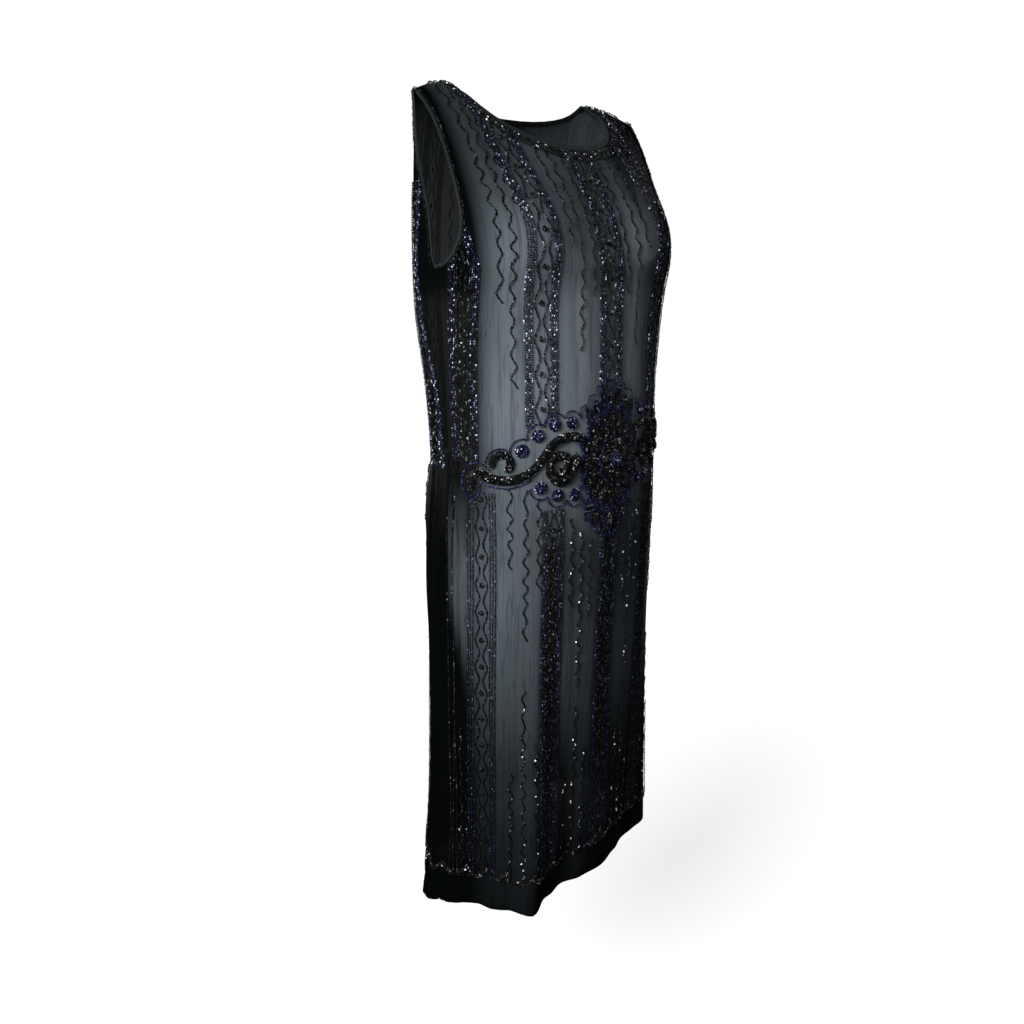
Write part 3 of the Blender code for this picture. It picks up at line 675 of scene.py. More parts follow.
# The cloth's own near-black mixed towards the painted light grey by the painted light, its random mottle and
# the painted wrinkle shade.
colour = addNode(tree, "ShaderNodeMix", {"data_type": "RGBA"},
                 {"Factor": shade, "A": linear(chiffonLook["dark"]), "B": linear(chiffonLook["light"])})
relief = addNode(tree, "ShaderNodeMath", {"operation": "ADD"}, {0: crinkle, 1: threads})
bumpNode = addNode(tree, "ShaderNodeBump", None, {"Height": relief, "Strength": 0.35, "Distance": 0.0006})
setInputs(tree, shader, {"Base Color": colour, "Alpha": coverNode.outputs["Fac"], "Normal": bumpNode,
                         "Roughness": 0.82, "Specular IOR Level": 0.0})

frontPanel = buildPanel("frontPanel", "front", chiffonMaterial)
backPanel = buildPanel("backPanel", "back", chiffonMaterial)
report("chiffon panels")

# The bindings are the same silk, folded four layers thick, so they are dark, with slubs 2.4 mm apart.
bindingLook = {"slubs": 420.0, "relief": 0.0005, "dark": "#0a0e0f", "light": "#161c1e"}
bindingMaterial, tree, shader = newMaterial("folded silk chiffon binding")
place = addNode(tree, "ShaderNodeTexCoord")
slub = addNode(tree, "ShaderNodeTexNoise", None,
               {"Vector": place.outputs["Object"], "Scale": bindingLook["slubs"], "Detail": 2.0})
colour = addNode(tree, "ShaderNodeMix", {"data_type": "RGBA"},
                 {"Factor": slub, "A": linear(bindingLook["dark"]), "B": linear(bindingLook["light"])})
bumpNode = addNode(tree, "ShaderNodeBump", None,
                   {"Height": slub, "Strength": 0.4, "Distance": bindingLook["relief"]})
setInputs(tree, shader, {"Base Color": colour, "Normal": bumpNode, "Roughness": 0.8,
                         "Specular IOR Level": 0.1})


def giveMaterial(prefixes, material):  # gives a material to the solids whose names start so
    for name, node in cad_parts.items():
        if name.startswith(prefixes):
            for materialSlot in node.material_slots:
                materialSlot.material = material


giveMaterial(("neck_binding", "armhole_binding"), bindingMaterial)


def glassMaterial(name, toneAndGlintStops, gleam):  # cut glass: each bead takes its own colour from a random value, and the top of the ramp is a painted glint
    material, tree, shader = newMaterial(name)
    toneAndGlint = addNode(tree, "ShaderNodeAttribute", {"attribute_name": "toneAndGlint"})
    ramp = addNode(tree, "ShaderNodeValToRGB", None, {"Fac": toneAndGlint.outputs["Fac"]})
    stops = ramp.color_ramp.elements
    stops.remove(stops[1])
    stops[0].position, stops[0].color = 0.0, linear(toneAndGlintStops[0][1])
    for place, shade in toneAndGlintStops[1:]:
        stops.new(place).color = linear(shade)
    worn = addNode(tree, "ShaderNodeMapRange", None,  # the brighter beads are smoother
                   {"Value": toneAndGlint.outputs["Fac"], "To Min": 0.6, "To Max": 0.3})
    setInputs(tree, shader, {"Base Color": ramp, "Roughness": worn, "IOR": 1.6, "Specular IOR Level": 0.08,
                             "Specular Tint": linear(gleam)})
    return material


# Painted glints: the top of each ramp is a near-white colour that one bead in a few takes, in place of a
# glint thrown by the cut glass, and the next ones stay black, so a row reads as dots. The navy has a violet
# cast, and the blue of the ornament's roundels and outlines is deeper.
blackToneAndGlints = [(0.0, "#010101"), (0.62, "#040404"), (0.82, "#161719"), (0.93, "#54585d"), (1.0, "#eef0f4")]
navyToneAndGlints = [
    (0.0, "#03030a"), (0.42, "#060716"), (0.62, "#111324"), (0.80, "#2d3243"), (0.91, "#70778a"),
    (1.0, "#e0e5f0"),
]
blueToneAndGlints = [
    (0.0, "#040416"), (0.42, "#0a0b28"), (0.62, "#1a1c42"), (0.80, "#3c3e64"), (0.92, "#74779a"),
    (1.0, "#c4c8e0"),
]
blackGlass = glassMaterial("black cut glass beads", blackToneAndGlints, "#ffffff")
navyGlass = glassMaterial("navy cut glass beads", navyToneAndGlints, "#dfe4ff")
blueGlass = glassMaterial("deep blue cut glass beads", blueToneAndGlints, "#dfe4ff")

# Felt under the beads of the ornament: pressed wool, so it is matt and hides between them.
paddingMaterial, tree, shader = newMaterial("black felt padding under the beads")
setInputs(tree, shader, {"Base Color": linear("#060606"), "Roughness": 0.9, "Specular IOR Level": 0.1})
giveMaterial(("scroll", "spiral", "hook", "flower", "leaf", "roundel"), paddingMaterial)

beadShape = {
    "belly": 1.5,                        # how much wider a bead is at its middle
    "tip": 0.16,                         # radians that it leans off its thread, at most
    "smallest": (0.86, 0.86, 0.84),
    "largest": (1.1, 1.1, 1.08),
}
# Painted glints grow fewer towards the neck and towards the hem.
paintedGlintFade = {
    # z and power at the lower end, z and power at the upper: a higher power leaves fewer beads with a painted
    # glint
    "towardsNeck": (-0.22, 1.0, -0.09, 1.75),
    "towardsHem": (-0.92, 0.4, -0.68, 0.0),
}


def beadTree():
    tree = bpy.data.node_groups.new("strungBeads", "GeometryNodeTree")
    for title, kind in (
        ("Rows", "Geometry"), ("Spacing", "Float"), ("Bead Length", "Float"), ("Bead Width", "Float"),
        ("Wander", "Float"), ("Sides", "Int"), ("Seed", "Int"), ("Glint", "Float"), ("Glass", "Material"),
    ):
        tree.interface.new_socket(title, in_out="INPUT", socket_type="NodeSocket" + kind)
    tree.interface.new_socket("Beads", in_out="OUTPUT", socket_type="NodeSocketGeometry")
    given = addNode(tree, "NodeGroupInput")
    thread = addNode(tree, "GeometryNodeMeshToCurve", None, {"Mesh": given.outputs["Rows"]})
    knots = addNode(tree, "GeometryNodeResampleCurve", {"mode": "LENGTH"},
                    {"Curve": thread, "Length": given.outputs["Spacing"]})
    back = addNode(tree, "ShaderNodeMath", {"operation": "MULTIPLY"}, {0: given.outputs["Wander"], 1: -1.0})
    stray = addNode(tree, "FunctionNodeRandomValue", {"data_type": "FLOAT_VECTOR"},
                    {"Min": back, "Max": given.outputs["Wander"], "Seed": given.outputs["Seed"]})
    loose = addNode(tree, "GeometryNodeSetPosition", None, {"Geometry": knots, "Offset": stray})
    # A bead: a short tube, wider at its middle, with flat cut sides.
    tube = addNode(tree, "GeometryNodeMeshCylinder", {"fill_type": "NONE"},
                   {"Vertices": given.outputs["Sides"], "Side Segments": 2, "Radius": 0.5, "Depth": 1.0})
    spot = addNode(tree, "GeometryNodeInputPosition")
    split = addNode(tree, "ShaderNodeSeparateXYZ", None, {"Vector": spot})
    square = addNode(tree, "ShaderNodeMath", {"operation": "MULTIPLY"},
                     {0: split.outputs["Z"], 1: split.outputs["Z"]})
    slim = addNode(tree, "ShaderNodeMath", {"operation": "MULTIPLY_ADD"},
                   {0: square, 1: -beadShape["belly"], 2: 1.0})
    shaped = addNode(tree, "ShaderNodeCombineXYZ", None, {"X": slim, "Y": slim, "Z": 1.0})
    barrel = addNode(tree, "ShaderNodeVectorMath", {"operation": "MULTIPLY"}, {0: spot, 1: shaped})
    size = addNode(tree, "ShaderNodeCombineXYZ", None,
                   {"X": given.outputs["Bead Width"], "Y": given.outputs["Bead Width"],
                    "Z": given.outputs["Bead Length"]})
    sized = addNode(tree, "ShaderNodeVectorMath", {"operation": "MULTIPLY"}, {0: barrel, 1: size})
    bead = addNode(tree, "GeometryNodeSetPosition", None, {"Geometry": tube, "Position": sized})
    tangent = addNode(tree, "GeometryNodeInputTangent")
    aligned = addNode(tree, "FunctionNodeAlignRotationToVector", {"axis": "Z"}, {"Vector": tangent})
    lean = beadShape["tip"]
    tip = addNode(tree, "FunctionNodeRandomValue", {"data_type": "FLOAT_VECTOR"},
                  {"Min": (-lean, -lean, 0.0), "Max": (lean, lean, 6.28), "Seed": given.outputs["Seed"]})
    tipped = addNode(tree, "FunctionNodeEulerToRotation", None, {"Euler": tip})
    turned = addNode(tree, "FunctionNodeRotateRotation", {"rotation_space": "LOCAL"},
                     {"Rotation": aligned, "Rotate By": tipped})
    grown = addNode(tree, "FunctionNodeRandomValue", {"data_type": "FLOAT_VECTOR"},
                    {"Min": beadShape["smallest"], "Max": beadShape["largest"],
                     "Seed": given.outputs["Seed"]})
    strung = addNode(tree, "GeometryNodeInstanceOnPoints", None,
                     {"Points": loose, "Instance": bead,
                      "Rotation": turned, "Scale": grown})
    # each bead's random tone, capped by Glint, whose top gives a painted glint
    toneAndGlint = addNode(tree, "FunctionNodeRandomValue", {"data_type": "FLOAT"}, {"Seed": given.outputs["Seed"]})
    tree.links.new(given.outputs["Glint"], next(s for s in toneAndGlint.inputs if s.name == "Max" and s.enabled))
    place = addNode(tree, "GeometryNodeInputPosition")
    height = addNode(tree, "ShaderNodeSeparateXYZ", None, {"Vector": place.outputs["Position"]})
    powers = []
    for lowZ, lowPower, highZ, highPower in (paintedGlintFade["towardsNeck"], paintedGlintFade["towardsHem"]):
        power = addNode(tree, "ShaderNodeMapRange", None,
                        {"Value": height.outputs["Z"], "From Min": lowZ, "From Max": highZ,
                         "To Min": lowPower, "To Max": highPower})
        powers.append(power)
    both = addNode(tree, "ShaderNodeMath", {"operation": "ADD"}, {0: powers[0], 1: powers[1]})
    fadedToneAndGlint = addNode(tree, "ShaderNodeMath", {"operation": "POWER"}, {0: toneAndGlint, 1: both})
    tinted = addNode(tree, "GeometryNodeStoreNamedAttribute", {"data_type": "FLOAT", "domain": "INSTANCE"},
                     {"Geometry": strung, "Name": "toneAndGlint"})
    tree.links.new(fadedToneAndGlint.outputs["Value"], next(s for s in tinted.inputs if s.name == "Value" and s.enabled))
    real = addNode(tree, "GeometryNodeRealizeInstances", None, {"Geometry": tinted})
    cut = addNode(tree, "GeometryNodeSetShadeSmooth", None, {"Geometry": real, "Shade Smooth": False})
    glazed = addNode(tree, "GeometryNodeSetMaterial", None,
                     {"Geometry": cut, "Material": given.outputs["Glass"]})
    addNode(tree, "NodeGroupOutput", None, {"Beads": glazed})
    return tree


strungBeads = beadTree()
beadCount = {}


def stringBeads(name, rows, rule, glass, seed, glint=1.0):  # glint caps how bright the beads' painted glints get
    points, edges = [], []
    for row in rows:
        start = len(points)
        points.extend(map(tuple, row))
        edges.extend((k, k + 1) for k in range(start, start + len(row) - 1))
    threadMesh = bpy.data.meshes.new(name + "Threads")
    threadMesh.from_pydata(points, edges, [])
    threads = bpy.data.objects.new(name + "Threads", threadMesh)
    scene.collection.objects.link(threads)
    modifier = threads.modifiers.new("beads", "NODES")
    modifier.node_group = strungBeads
    values = {"Spacing": rule["spacing"], "Bead Length": rule["length"], "Bead Width": rule["width"],
              "Wander": rule["wander"], "Sides": rule["sides"], "Seed": seed, "Glint": glint, "Glass": glass}
    for item in strungBeads.interface.items_tree:
        if item.in_out == "INPUT" and item.name in values:
            modifier[item.identifier] = values[item.name]
    bpy.context.view_layer.update()
    done = threads.evaluated_get(bpy.context.evaluated_depsgraph_get())
    mesh = bpy.data.meshes.new_from_object(done)
    mesh.name = name
    threads.modifiers.remove(modifier)
    bpy.data.objects.remove(threads)
    piece = bpy.data.objects.new(name, mesh)
    scene.collection.objects.link(piece)
    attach(piece, "root")
    beadCount[name] = len(mesh.polygons) * 2
    return piece


beadStrings = {
    "halfAround": 0.3,        # metres from the centre line to the side, to turn a margin into a share
    "margin": 0.003,          # from the edges of the cloth
    "step": 0.006,            # between the points of a straight row, and of a wave
    "waveStep": 0.003,
    "slopeStep": 0.010,
    "drift": 0.06,
    "driftZ": (-0.36, -0.17),
    "driftWithin": 0.17,
    "slow": (0.9, 1 / 0.031, 2.3),      # how far the turns of a hand-sewn wave stray
    "quick": (0.5, 1 / 0.013, 1.0),
    "reached": (0.30, 1 / 0.021, 1.7),  # and how much further or less far they reach
    "sharp": 0.86,            # 0 is a soft wave and 1 a zigzag
    "leanGrowth": 1.5,
}


def insideCloth(panel, share, level):
    margin = beadStrings["margin"]
    edge = margin / beadStrings["halfAround"]
    withinArm = np.abs(share) < np.where(level > 0.0, armholeShare(panel, level), 1.0) - edge
    withinNeck = level < neckLevel(panel, share, clothForm["neckBinding"] + margin) + 1e-6
    return withinArm & withinNeck


def unbroken(points, kept):  # the runs of a row that lie on the cloth
    rows, start = [], None
    for k, good in enumerate(list(kept) + [False]):
        if good and start is None:
            start = k
        if not good and start is not None:
            if k - start > 2:
                rows.append(points[start:k])
            start = None
    return rows


def handWave(climbed, height, length, start, uneven=0.0):
    # A zigzag with soft turns, sewn by hand: its turns come sooner or later, and reach less or further.
    slow = handStray(beadStrings["slow"], climbed, start)
    quick = handStray(beadStrings["quick"], climbed, start)
    reached = handStray(beadStrings["reached"], climbed, start)
    turn = 2 * math.pi * climbed / length + start + uneven * (slow + quick)
    soft = np.arcsin(beadStrings["sharp"] * np.sin(turn)) / math.asin(beadStrings["sharp"])
    return height * (1.0 + uneven * reached) * soft


def rowsUp(panel, across, lowZ, highZ, lift, wave=(0.0, 1.0, 0.0), lean=0.0):
    # A row that climbs the cloth at a distance from the centre line, with a wave's height, length and
    # start. Over the bust it drifts outward, and lean takes it further out from the chest line up.
    share = across / halfLength(panel, chestZ)
    low, high = float(levelAt(panel, share, lowZ)), float(levelAt(panel, share, highZ))
    below = np.arange(low, min(high, 0.0), beadStrings["waveStep"] if wave[0] else beadStrings["step"])
    above = np.arange(max(low, 0.0), high, beadStrings["slopeStep"])
    levels = np.concatenate([below, above, [high]])
    z = chestZ + np.minimum(levels, 0.0)
    length = halfLength(panel, z)
    drift = beadStrings["drift"] * across * softStep(z, *beadStrings["driftZ"])
    drift = drift * (abs(across) < beadStrings["driftWithin"])
    centre = formPoint(panel, (across + drift) / length, levels)
    leaned = math.copysign(lean, across) * np.maximum(0.0, levels) ** beadStrings["leanGrowth"]
    shares = (across + drift + handWave(climb(centre), *wave) + leaned) / length
    return unbroken(clothPoint(panel, shares, levels, lift), insideCloth(panel, shares, levels))


seedBead = {"spacing": 0.0028, "length": 0.0020, "width": 0.0020, "wander": 0.00025, "sides": 4}
fineBead = {"spacing": 0.0028, "length": 0.0025, "width": 0.0021, "wander": 0.0003, "sides": 4}
lift = clothForm["wall"] / 2 + seedBead["width"] / 2

# Bands run from the neck and shoulders to the ornament, and from it to the hem: two stripes of
# navy rows, with two facing wavy black rows between them and a small rosette in each oval.
beadBands = {
    "bodice": {"centres": (0.0, 0.115, 0.212), "stripe": (0.0124, 0.0154, 0.0184, 0.0214), "waveAt": 0.0060,
               "waveHeight": 0.0034, "oval": 0.042},
    "skirt": {"centres": (0.0, 0.100, 0.193), "stripe": (0.0106, 0.0139, 0.0172), "waveAt": 0.0049,
              "waveHeight": 0.0026, "oval": 0.037},
    "backSkirt": {0.0: 0.0, 0.100: 0.082, 0.193: 0.158},  # where the gathers leave room on the back
    "narrowed": {0.212: 0.8, 0.100: 0.88, 0.082: 0.88},
    "filled": {"bodice": (0.212,), "skirt": (0.0, 0.100)},  # closely beaded all over, on the front
    "fill": {"bodice": (0.0032, 0.0092), "skirt": (0.0016, 0.0048, 0.0080)},
    "fillWave": (0.0007, 0.013),
    "fillStart": {0.100: (0.035, 0.060, 0.048)},  # how far under the ornament the fill starts
    "fillLift": 0.9,
    "sideRows": (0.2275, 0.2325, 0.2375),         # single rows down the side of the skirt's front
    "topZ": 0.002,
    "bottomZ": -1.028,
    "ends": {
        # distance from the centre line up to which a band ends at this z
        "bodice": [(0.05, -0.372), (0.15, -0.398), (0.3, -0.440)],
        "skirt": [(0.05, -0.530), (0.15, -0.505), (0.3, -0.478)],
    },
    "backEnds": {"bodice": -0.452, "skirt": -0.462},
    "rosette": {
        "radius": 0.0027, "turns": 1.55, "closing": 0.62, "least": 0.12, "points": 20, "step": 0.004,
        "middleY": -0.053, "flatness": 0.6,       # outward is from the dress's middle, and mostly forward
    },
    "outer": 0.212,                               # the band that runs out at the armhole
    "armholeZ": -0.115,
    "armholeLean": 0.10,
    # how bright the painted glints may get in each part
    "glint": {"bodice": 0.96, "skirt": 0.87, "fill": 0.94},
}


def bandEnds(panel, part, across):  # where a band stops at the ornament's outline, or at the waist
    if panel == "back":
        return beadBands["backEnds"][part]
    return next(z for within, z in beadBands["ends"][part] if abs(across) < within)


def rosette(path, climbed, at):  # a ring of beads flat on the cloth, which winds in to its middle
    rule = beadBands["rosette"]
    ends = (at, at + rule["step"])
    spot, beyond = np.stack([np.interp(ends, climbed, path[:, k]) for k in range(3)], -1)
    ahead = (beyond - spot) / np.linalg.norm(beyond - spot)
    outward = np.array([spot[0] * rule["flatness"], spot[1] - rule["middleY"], 0.0])
    beside = np.cross(ahead, outward)
    beside /= np.linalg.norm(beside)
    angles = np.linspace(0.0, 2 * math.pi * rule["turns"], rule["points"])
    part = np.clip((rule["turns"] - angles / (2 * math.pi)) / rule["closing"], rule["least"], 1.0)
    reach = rule["radius"] * part[:, None]
    return spot + reach * (np.outer(np.cos(angles), ahead) + np.outer(np.sin(angles), beside))


def bandRows(panel, part):  # the navy stripes, the black waves with rosettes, and the black fills
    rule = beadBands[part]
    stripes, waves, fills = [], [], []
    for middle in rule["centres"]:
        if part == "skirt" and panel == "back":
            middle = beadBands["backSkirt"].get(middle)
            if middle is None:
                continue
        narrow = beadBands["narrowed"].get(middle, 1.0)
        for centre in sorted({middle, -middle}):
            end = bandEnds(panel, part, centre)
            low, high = (end, beadBands["topZ"]) if part == "bodice" else (beadBands["bottomZ"], end)
            lean = 0.0
            if part == "bodice" and middle == beadBands["outer"]:
                high, lean = beadBands["armholeZ"], beadBands["armholeLean"]
            for side in (-1.0, 1.0):
                for distance in rule["stripe"]:
                    stripes += rowsUp(panel, centre + side * distance * narrow, low, high, lift, lean=lean)
                wave = (side * rule["waveHeight"] * narrow, rule["oval"], -math.pi / 2)
                waves += rowsUp(panel, centre + side * rule["waveAt"] * narrow, low, high, lift, wave, lean)
                if middle not in beadBands["filled"][part] or panel == "back":
                    continue
                for k, distance in enumerate(beadBands["fill"][part]):
                    wave = (*beadBands["fillWave"], 1.9 * k + side)
                    top = high - beadBands["fillStart"].get(middle, (0.0, 0.0, 0.0))[k]
                    across = centre + side * distance * narrow
                    fills += rowsUp(panel, across, low, top, lift * beadBands["fillLift"], wave, lean)
            for path in rowsUp(panel, centre, low, high, lift, lean=lean):
                climbed = climb(path)
                for at in np.arange(rule["oval"] / 2, climbed[-1] - 0.006, rule["oval"]):
                    waves.append(rosette(path, climbed, at))
    if part == "skirt" and panel == "front":
        for across in beadBands["sideRows"]:
            for side in (-1.0, 1.0):
                end = bandEnds(panel, part, across)
                fills += rowsUp(panel, side * across, beadBands["bottomZ"], end, lift)
    return stripes, waves, fills


seed = 11  # of the random lean, size and glint of the beads: each piece has its own
for panel in ("front", "back"):
    for part in ("bodice", "skirt"):
        stripes, waves, fills = bandRows(panel, part)
        glint, title = beadBands["glint"], part + panel.title()
        stringBeads(title + "Stripes", stripes, seedBead, navyGlass, seed, glint[part])
        stringBeads(title + "BandWaves", waves, fineBead, blackGlass, seed + 1, glint[part])
        if fills:
            stringBeads(title + "Fills", fills, seedBead, blackGlass, seed + 30, glint["fill"])
        seed += 2
report("bead bands")

# Loose wavy rows hang from the neckline, from under the ornament, and rise from the hem.
wavyRows = {
    "height": 0.0031,
    "length": 0.0245,
    "uneven": 0.8,
    "fromNeck": [
        # distance from the centre line, and z at the lower end
        (0.032, -0.244), (0.054, -0.309), (0.072, -0.187), (0.139, -0.150), (0.151, -0.349), (0.165, -0.250),
    ],
    "fromOrnament": [
        # distance, z at the upper end, z at the lower end
        (0.036, -0.555, -0.66), (0.053, -0.540, -0.76), (0.070, -0.520, -0.64),
        (0.120, -0.488, -0.607), (0.138, -0.476, -0.674), (0.158, -0.472, -0.576),
    ],
    "fromHem": [
        # distance, z at the upper end
        (0.036, -0.86), (0.052, -0.79), (0.070, -0.90),
        (0.122, -0.833), (0.138, -0.745), (0.155, -0.864),
    ],
    "fromHemSide": [(0.2125, -0.84), (0.2210, -0.80)],  # on the front only
    "hemHeight": 0.8,         # of the waves that rise from the hem, to the others
    "calmFrom": 0.1,
    # how bright the painted glints may get
    "glint": {"calm": 0.90, "bright": 1.0},
}


def looseWaves(panel):
    rule = wavyRows
    calm, bright = [], []  # those over the painted light panels get few painted glints, the others more
    for k, (across, low) in enumerate(rule["fromNeck"]):
        for side in (-1.0, 1.0):
            wave = (rule["height"], rule["length"], 0.4 * k + side, rule["uneven"])
            calm += rowsUp(panel, side * across, low, beadBands["topZ"], lift, wave)
    for k, (across, high, low) in enumerate(rule["fromOrnament"]):
        for side in (-1.0, 1.0):
            outer = across > rule["calmFrom"]
            if panel == "front" or outer:
                wave = (rule["height"], rule["length"], 0.7 * k + side, rule["uneven"])
                (calm if outer else bright).extend(rowsUp(panel, side * across, low, high, lift, wave))
    fromHem = rule["fromHem"] + (rule["fromHemSide"] if panel == "front" else [])
    for k, (across, high) in enumerate(fromHem):
        for side in (-1.0, 1.0):
            wave = (rule["height"] * rule["hemHeight"], rule["length"], 1.1 * k + side, rule["uneven"])
            bright += rowsUp(panel, side * across, beadBands["bottomZ"], high, lift, wave)
    return calm, bright


for panel in ("front", "back"):
    calm, bright = looseWaves(panel)
    glint = wavyRows["glint"]
    stringBeads(panel + "CalmWaves", calm, fineBead, blackGlass, seed, glint["calm"])
    stringBeads(panel + "BrightWaves", bright, fineBead, blackGlass, seed + 1, glint["bright"])
    seed += 2
report("wavy rows")

# Beads edge the neck and the armholes, and rows of scallops cross the cloth above the hem.
beadEdges = {
    "neckRows": (0.0083, 0.0112, 0.0141, 0.0170),  # distance from the neckline
    "armRow": 0.0022,
    # how bright the armhole beads' painted glints may get
    "armGlint": 0.85,
    "scallopZ": -1.029,
    "scallopRows": (0.0, 0.0030, 0.0058),
    "scallops": 8,            # from the centre line to each side
    "scallopRise": 0.013,
    "scallopPoint": 1.3,
    "swing": (0.018, 11.0, 2.0),
    "rise": (0.3, 7.3, 0.0),
    "level": (0.003, 5.1, 1.0),
}


def neckRow(panel, grow):
    angles = np.linspace(-math.pi / 2, math.pi / 2, 121)
    x = (clothForm["neckHalfWidth"] + grow) * np.abs(np.sin(angles)) ** (2 / clothForm["neckRoundness"])
    share = np.copysign(chestShare(panel, x), angles)
    return clothPoint(panel, share, neckLevel(panel, share, grow), lift)


def armRow(panel, side):
    levels = np.linspace(0.0, 0.995, 70)
    share = armholeShare(panel, levels) - beadEdges["armRow"] / beadStrings["halfAround"]
    return clothPoint(panel, side * share, levels, lift)


neckRows, armRows = [], []
for panel in ("front", "back"):
    for grow in beadEdges["neckRows"]:
        neckRows.append(neckRow(panel, grow))
    for side in (-1.0, 1.0):
        armRows.append(armRow(panel, side))
stringBeads("neckEdgeBeads", neckRows, seedBead, blackGlass, 41)
stringBeads("armholeEdgeBeads", armRows, fineBead, blackGlass, 42, beadEdges["armGlint"])

scallops = []
for panel in ("front", "back"):
    for distance in beadEdges["scallopRows"]:
        part = np.linspace(-1.0, 1.0, 32 * beadEdges["scallops"] + 1)
        swing, raised, level = (handStray(beadEdges[key], part) for key in ("swing", "rise", "level"))
        arch = np.abs(np.sin((part + swing) * beadEdges["scallops"] * math.pi))
        rise = beadEdges["scallopRise"] * (1.0 + raised)
        z = beadEdges["scallopZ"] + rise * (1.0 - arch) ** beadEdges["scallopPoint"] + distance + level
        scallops.append(clothPoint(panel, part, z - chestZ, lift))
stringBeads("hemScallops", scallops, fineBead, blackGlass, 43)
report("bead edges")

# The hip ornament: beads laid over its padded cords, roundels, petals and leaves.
ornament = {
    "z": -0.452,
    "under": 0.0005,          # between the cloth and what lies on it
    "scroll": {"halfWidth": 0.0055, "height": 0.0032},
    "scrollCourse": [
        # across, up
        (0.052, 0.034), (0.078, 0.038), (0.100, 0.031), (0.116, 0.013), (0.134, -0.003), (0.158, -0.010),
        (0.181, -0.007), (0.196, 0.001), (0.204, -0.006), (0.203, -0.022),
    ],
    "spiral": {"middle": (0.089, 0.002), "outer": 0.0235, "inner": 0.0065, "turns": 1.45, "start": 150.0},
    "hook": {"middle": (0.168, 0.0115), "outer": 0.0125, "inner": 0.0095, "turns": 0.72, "start": 235.0},
    "hookHalfWidth": 0.0045,
    "roundel": {"radius": 0.0078, "height": 0.0030},
    "roundels": [
        (0.072, 0.055), (0.098, 0.055), (0.121, 0.043), (0.142, 0.026),
        (0.118, -0.022), (0.094, -0.034), (0.067, -0.037),
    ],
    "petals": {"count": 16, "across": 0.058, "up": 0.066, "cut": 0.22, "height": 0.0040, "over": 0.0,
               "beadsFrom": 0.30},
    "innerPetals": {"count": 9, "across": 0.029, "up": 0.033, "cut": 0.18, "height": 0.0030, "over": 0.0045,
                    "beadsFrom": 0.25},
    "hole": 0.12,
    "petalEdges": (0.035, 0.080, 0.140),
    "innerEdge": 0.03,
    "ridge": (0.8, 0.55, 1.0, 0.3),  # a petal's height at the hole, in a notch, at its tip and at its edge
    "feather": {"slant": 0.62, "uneven": 0.25, "step": 0.0011, "start": 0.0003},
    "petalRow": {"step": 0.0026, "reach": 0.022, "to": 0.97, "offValley": 0.08},
    "leafRow": {"step": 0.0024, "reach": 0.012, "to": 0.97, "within": 0.92},
    "leafShape": (0.18, 0.82, 0.12, 0.86),  # width at its ends, what the arch adds, its start and its span
    "leafRidge": (0.35, 0.65),       # height at its ends, and what the middle adds
    "leafRim": {"from": 0.02, "to": 1.06, "over": 1.15},
    "cordRow": {"step": 0.0024, "slant": 0.35, "roundness": 3.2, "ends": (0.62, 0.86)},
    "roundelRings": (0.16, 0.44, 0.72, 1.0),
    "roundelRing": {"turn": 0.97, "points": 26, "shift": 7.0, "roundness": 2.4},
    "valleys": (-0.34, -0.12, 0.12, 0.34),
    "valleyRow": (0.80, 0.1, 1.05, 0.12),  # where a row starts and ends, and how much less beside the middle
    "flatHeight": 0.1,               # of the leaves that are beads alone
    "stand": {"cord": 0.7, "dome": 0.4, "flat": 0.5},  # bead widths from a bead's middle to what it lies on
    "hookOutline": 1.22,             # the outline's radius round the hook, to that round a roundel
    "stepsAbove": [
        # across, up: a stepped outline round the leaves
        (0.0575, 0.0590), (0.0575, 0.0720), (0.0440, 0.0760), (0.0440, 0.0850), (0.0300, 0.0870),
        (0.0285, 0.0960), (0.0150, 0.0975), (0.0110, 0.1030), (0.0, 0.0990),
    ],
    "stepsBelow": [
        (0.0530, -0.0460), (0.0510, -0.0600), (0.0420, -0.0630), (0.0420, -0.0770), (0.0310, -0.0830),
        (0.0285, -0.0950), (0.0150, -0.0970), (0.0120, -0.1020), (0.0, -0.1010),
    ],
    "flatLeaves": [
        # degrees from straight up, start, length, half width: beads alone, between the raised leaves
        (11.0, 0.066, 0.030, 0.0055), (-11.0, 0.066, 0.030, 0.0055), (34.0, 0.064, 0.022, 0.0055),
        (-34.0, 0.064, 0.022, 0.0055), (169.0, 0.066, 0.032, 0.0055), (-169.0, 0.066, 0.032, 0.0055),
        (146.0, 0.064, 0.024, 0.0055), (-146.0, 0.064, 0.024, 0.0055),
    ],
    "centre": {"radius": 0.0105, "height": 0.0045, "over": 0.0080},
    "leaves": [
        # degrees from straight up, start, length, half width
        (0.0, 0.068, 0.024, 0.0060), (22.5, 0.067, 0.018, 0.0055), (-22.5, 0.067, 0.018, 0.0055),
        (180.0, 0.068, 0.028, 0.0065), (157.5, 0.067, 0.024, 0.0060), (-157.5, 0.067, 0.024, 0.0060),
    ],
    "outlineRadius": 0.0148,  # of the scalloped outline round each roundel
    "tailOutline": [
        (0.181, 0.0035), (0.190, 0.0105), (0.199, 0.0115), (0.209, 0.0070), (0.214, -0.0040),
        (0.2135, -0.0200), (0.207, -0.0330), (0.198, -0.0310), (0.1935, -0.0220), (0.193, -0.0125),
        (0.1865, -0.0150), (0.172, -0.0185), (0.156, -0.0195), (0.141, -0.0150), (0.131, -0.0105),
    ],
    # how bright the painted glints may get
    "glint": {"scroll": 0.975, "flower": 0.965, "outline": 0.80},
}
stand = ornament["stand"]
cordBead = {"spacing": 0.0018, "length": 0.0017, "width": 0.0018, "wander": 0.0002, "sides": 4}
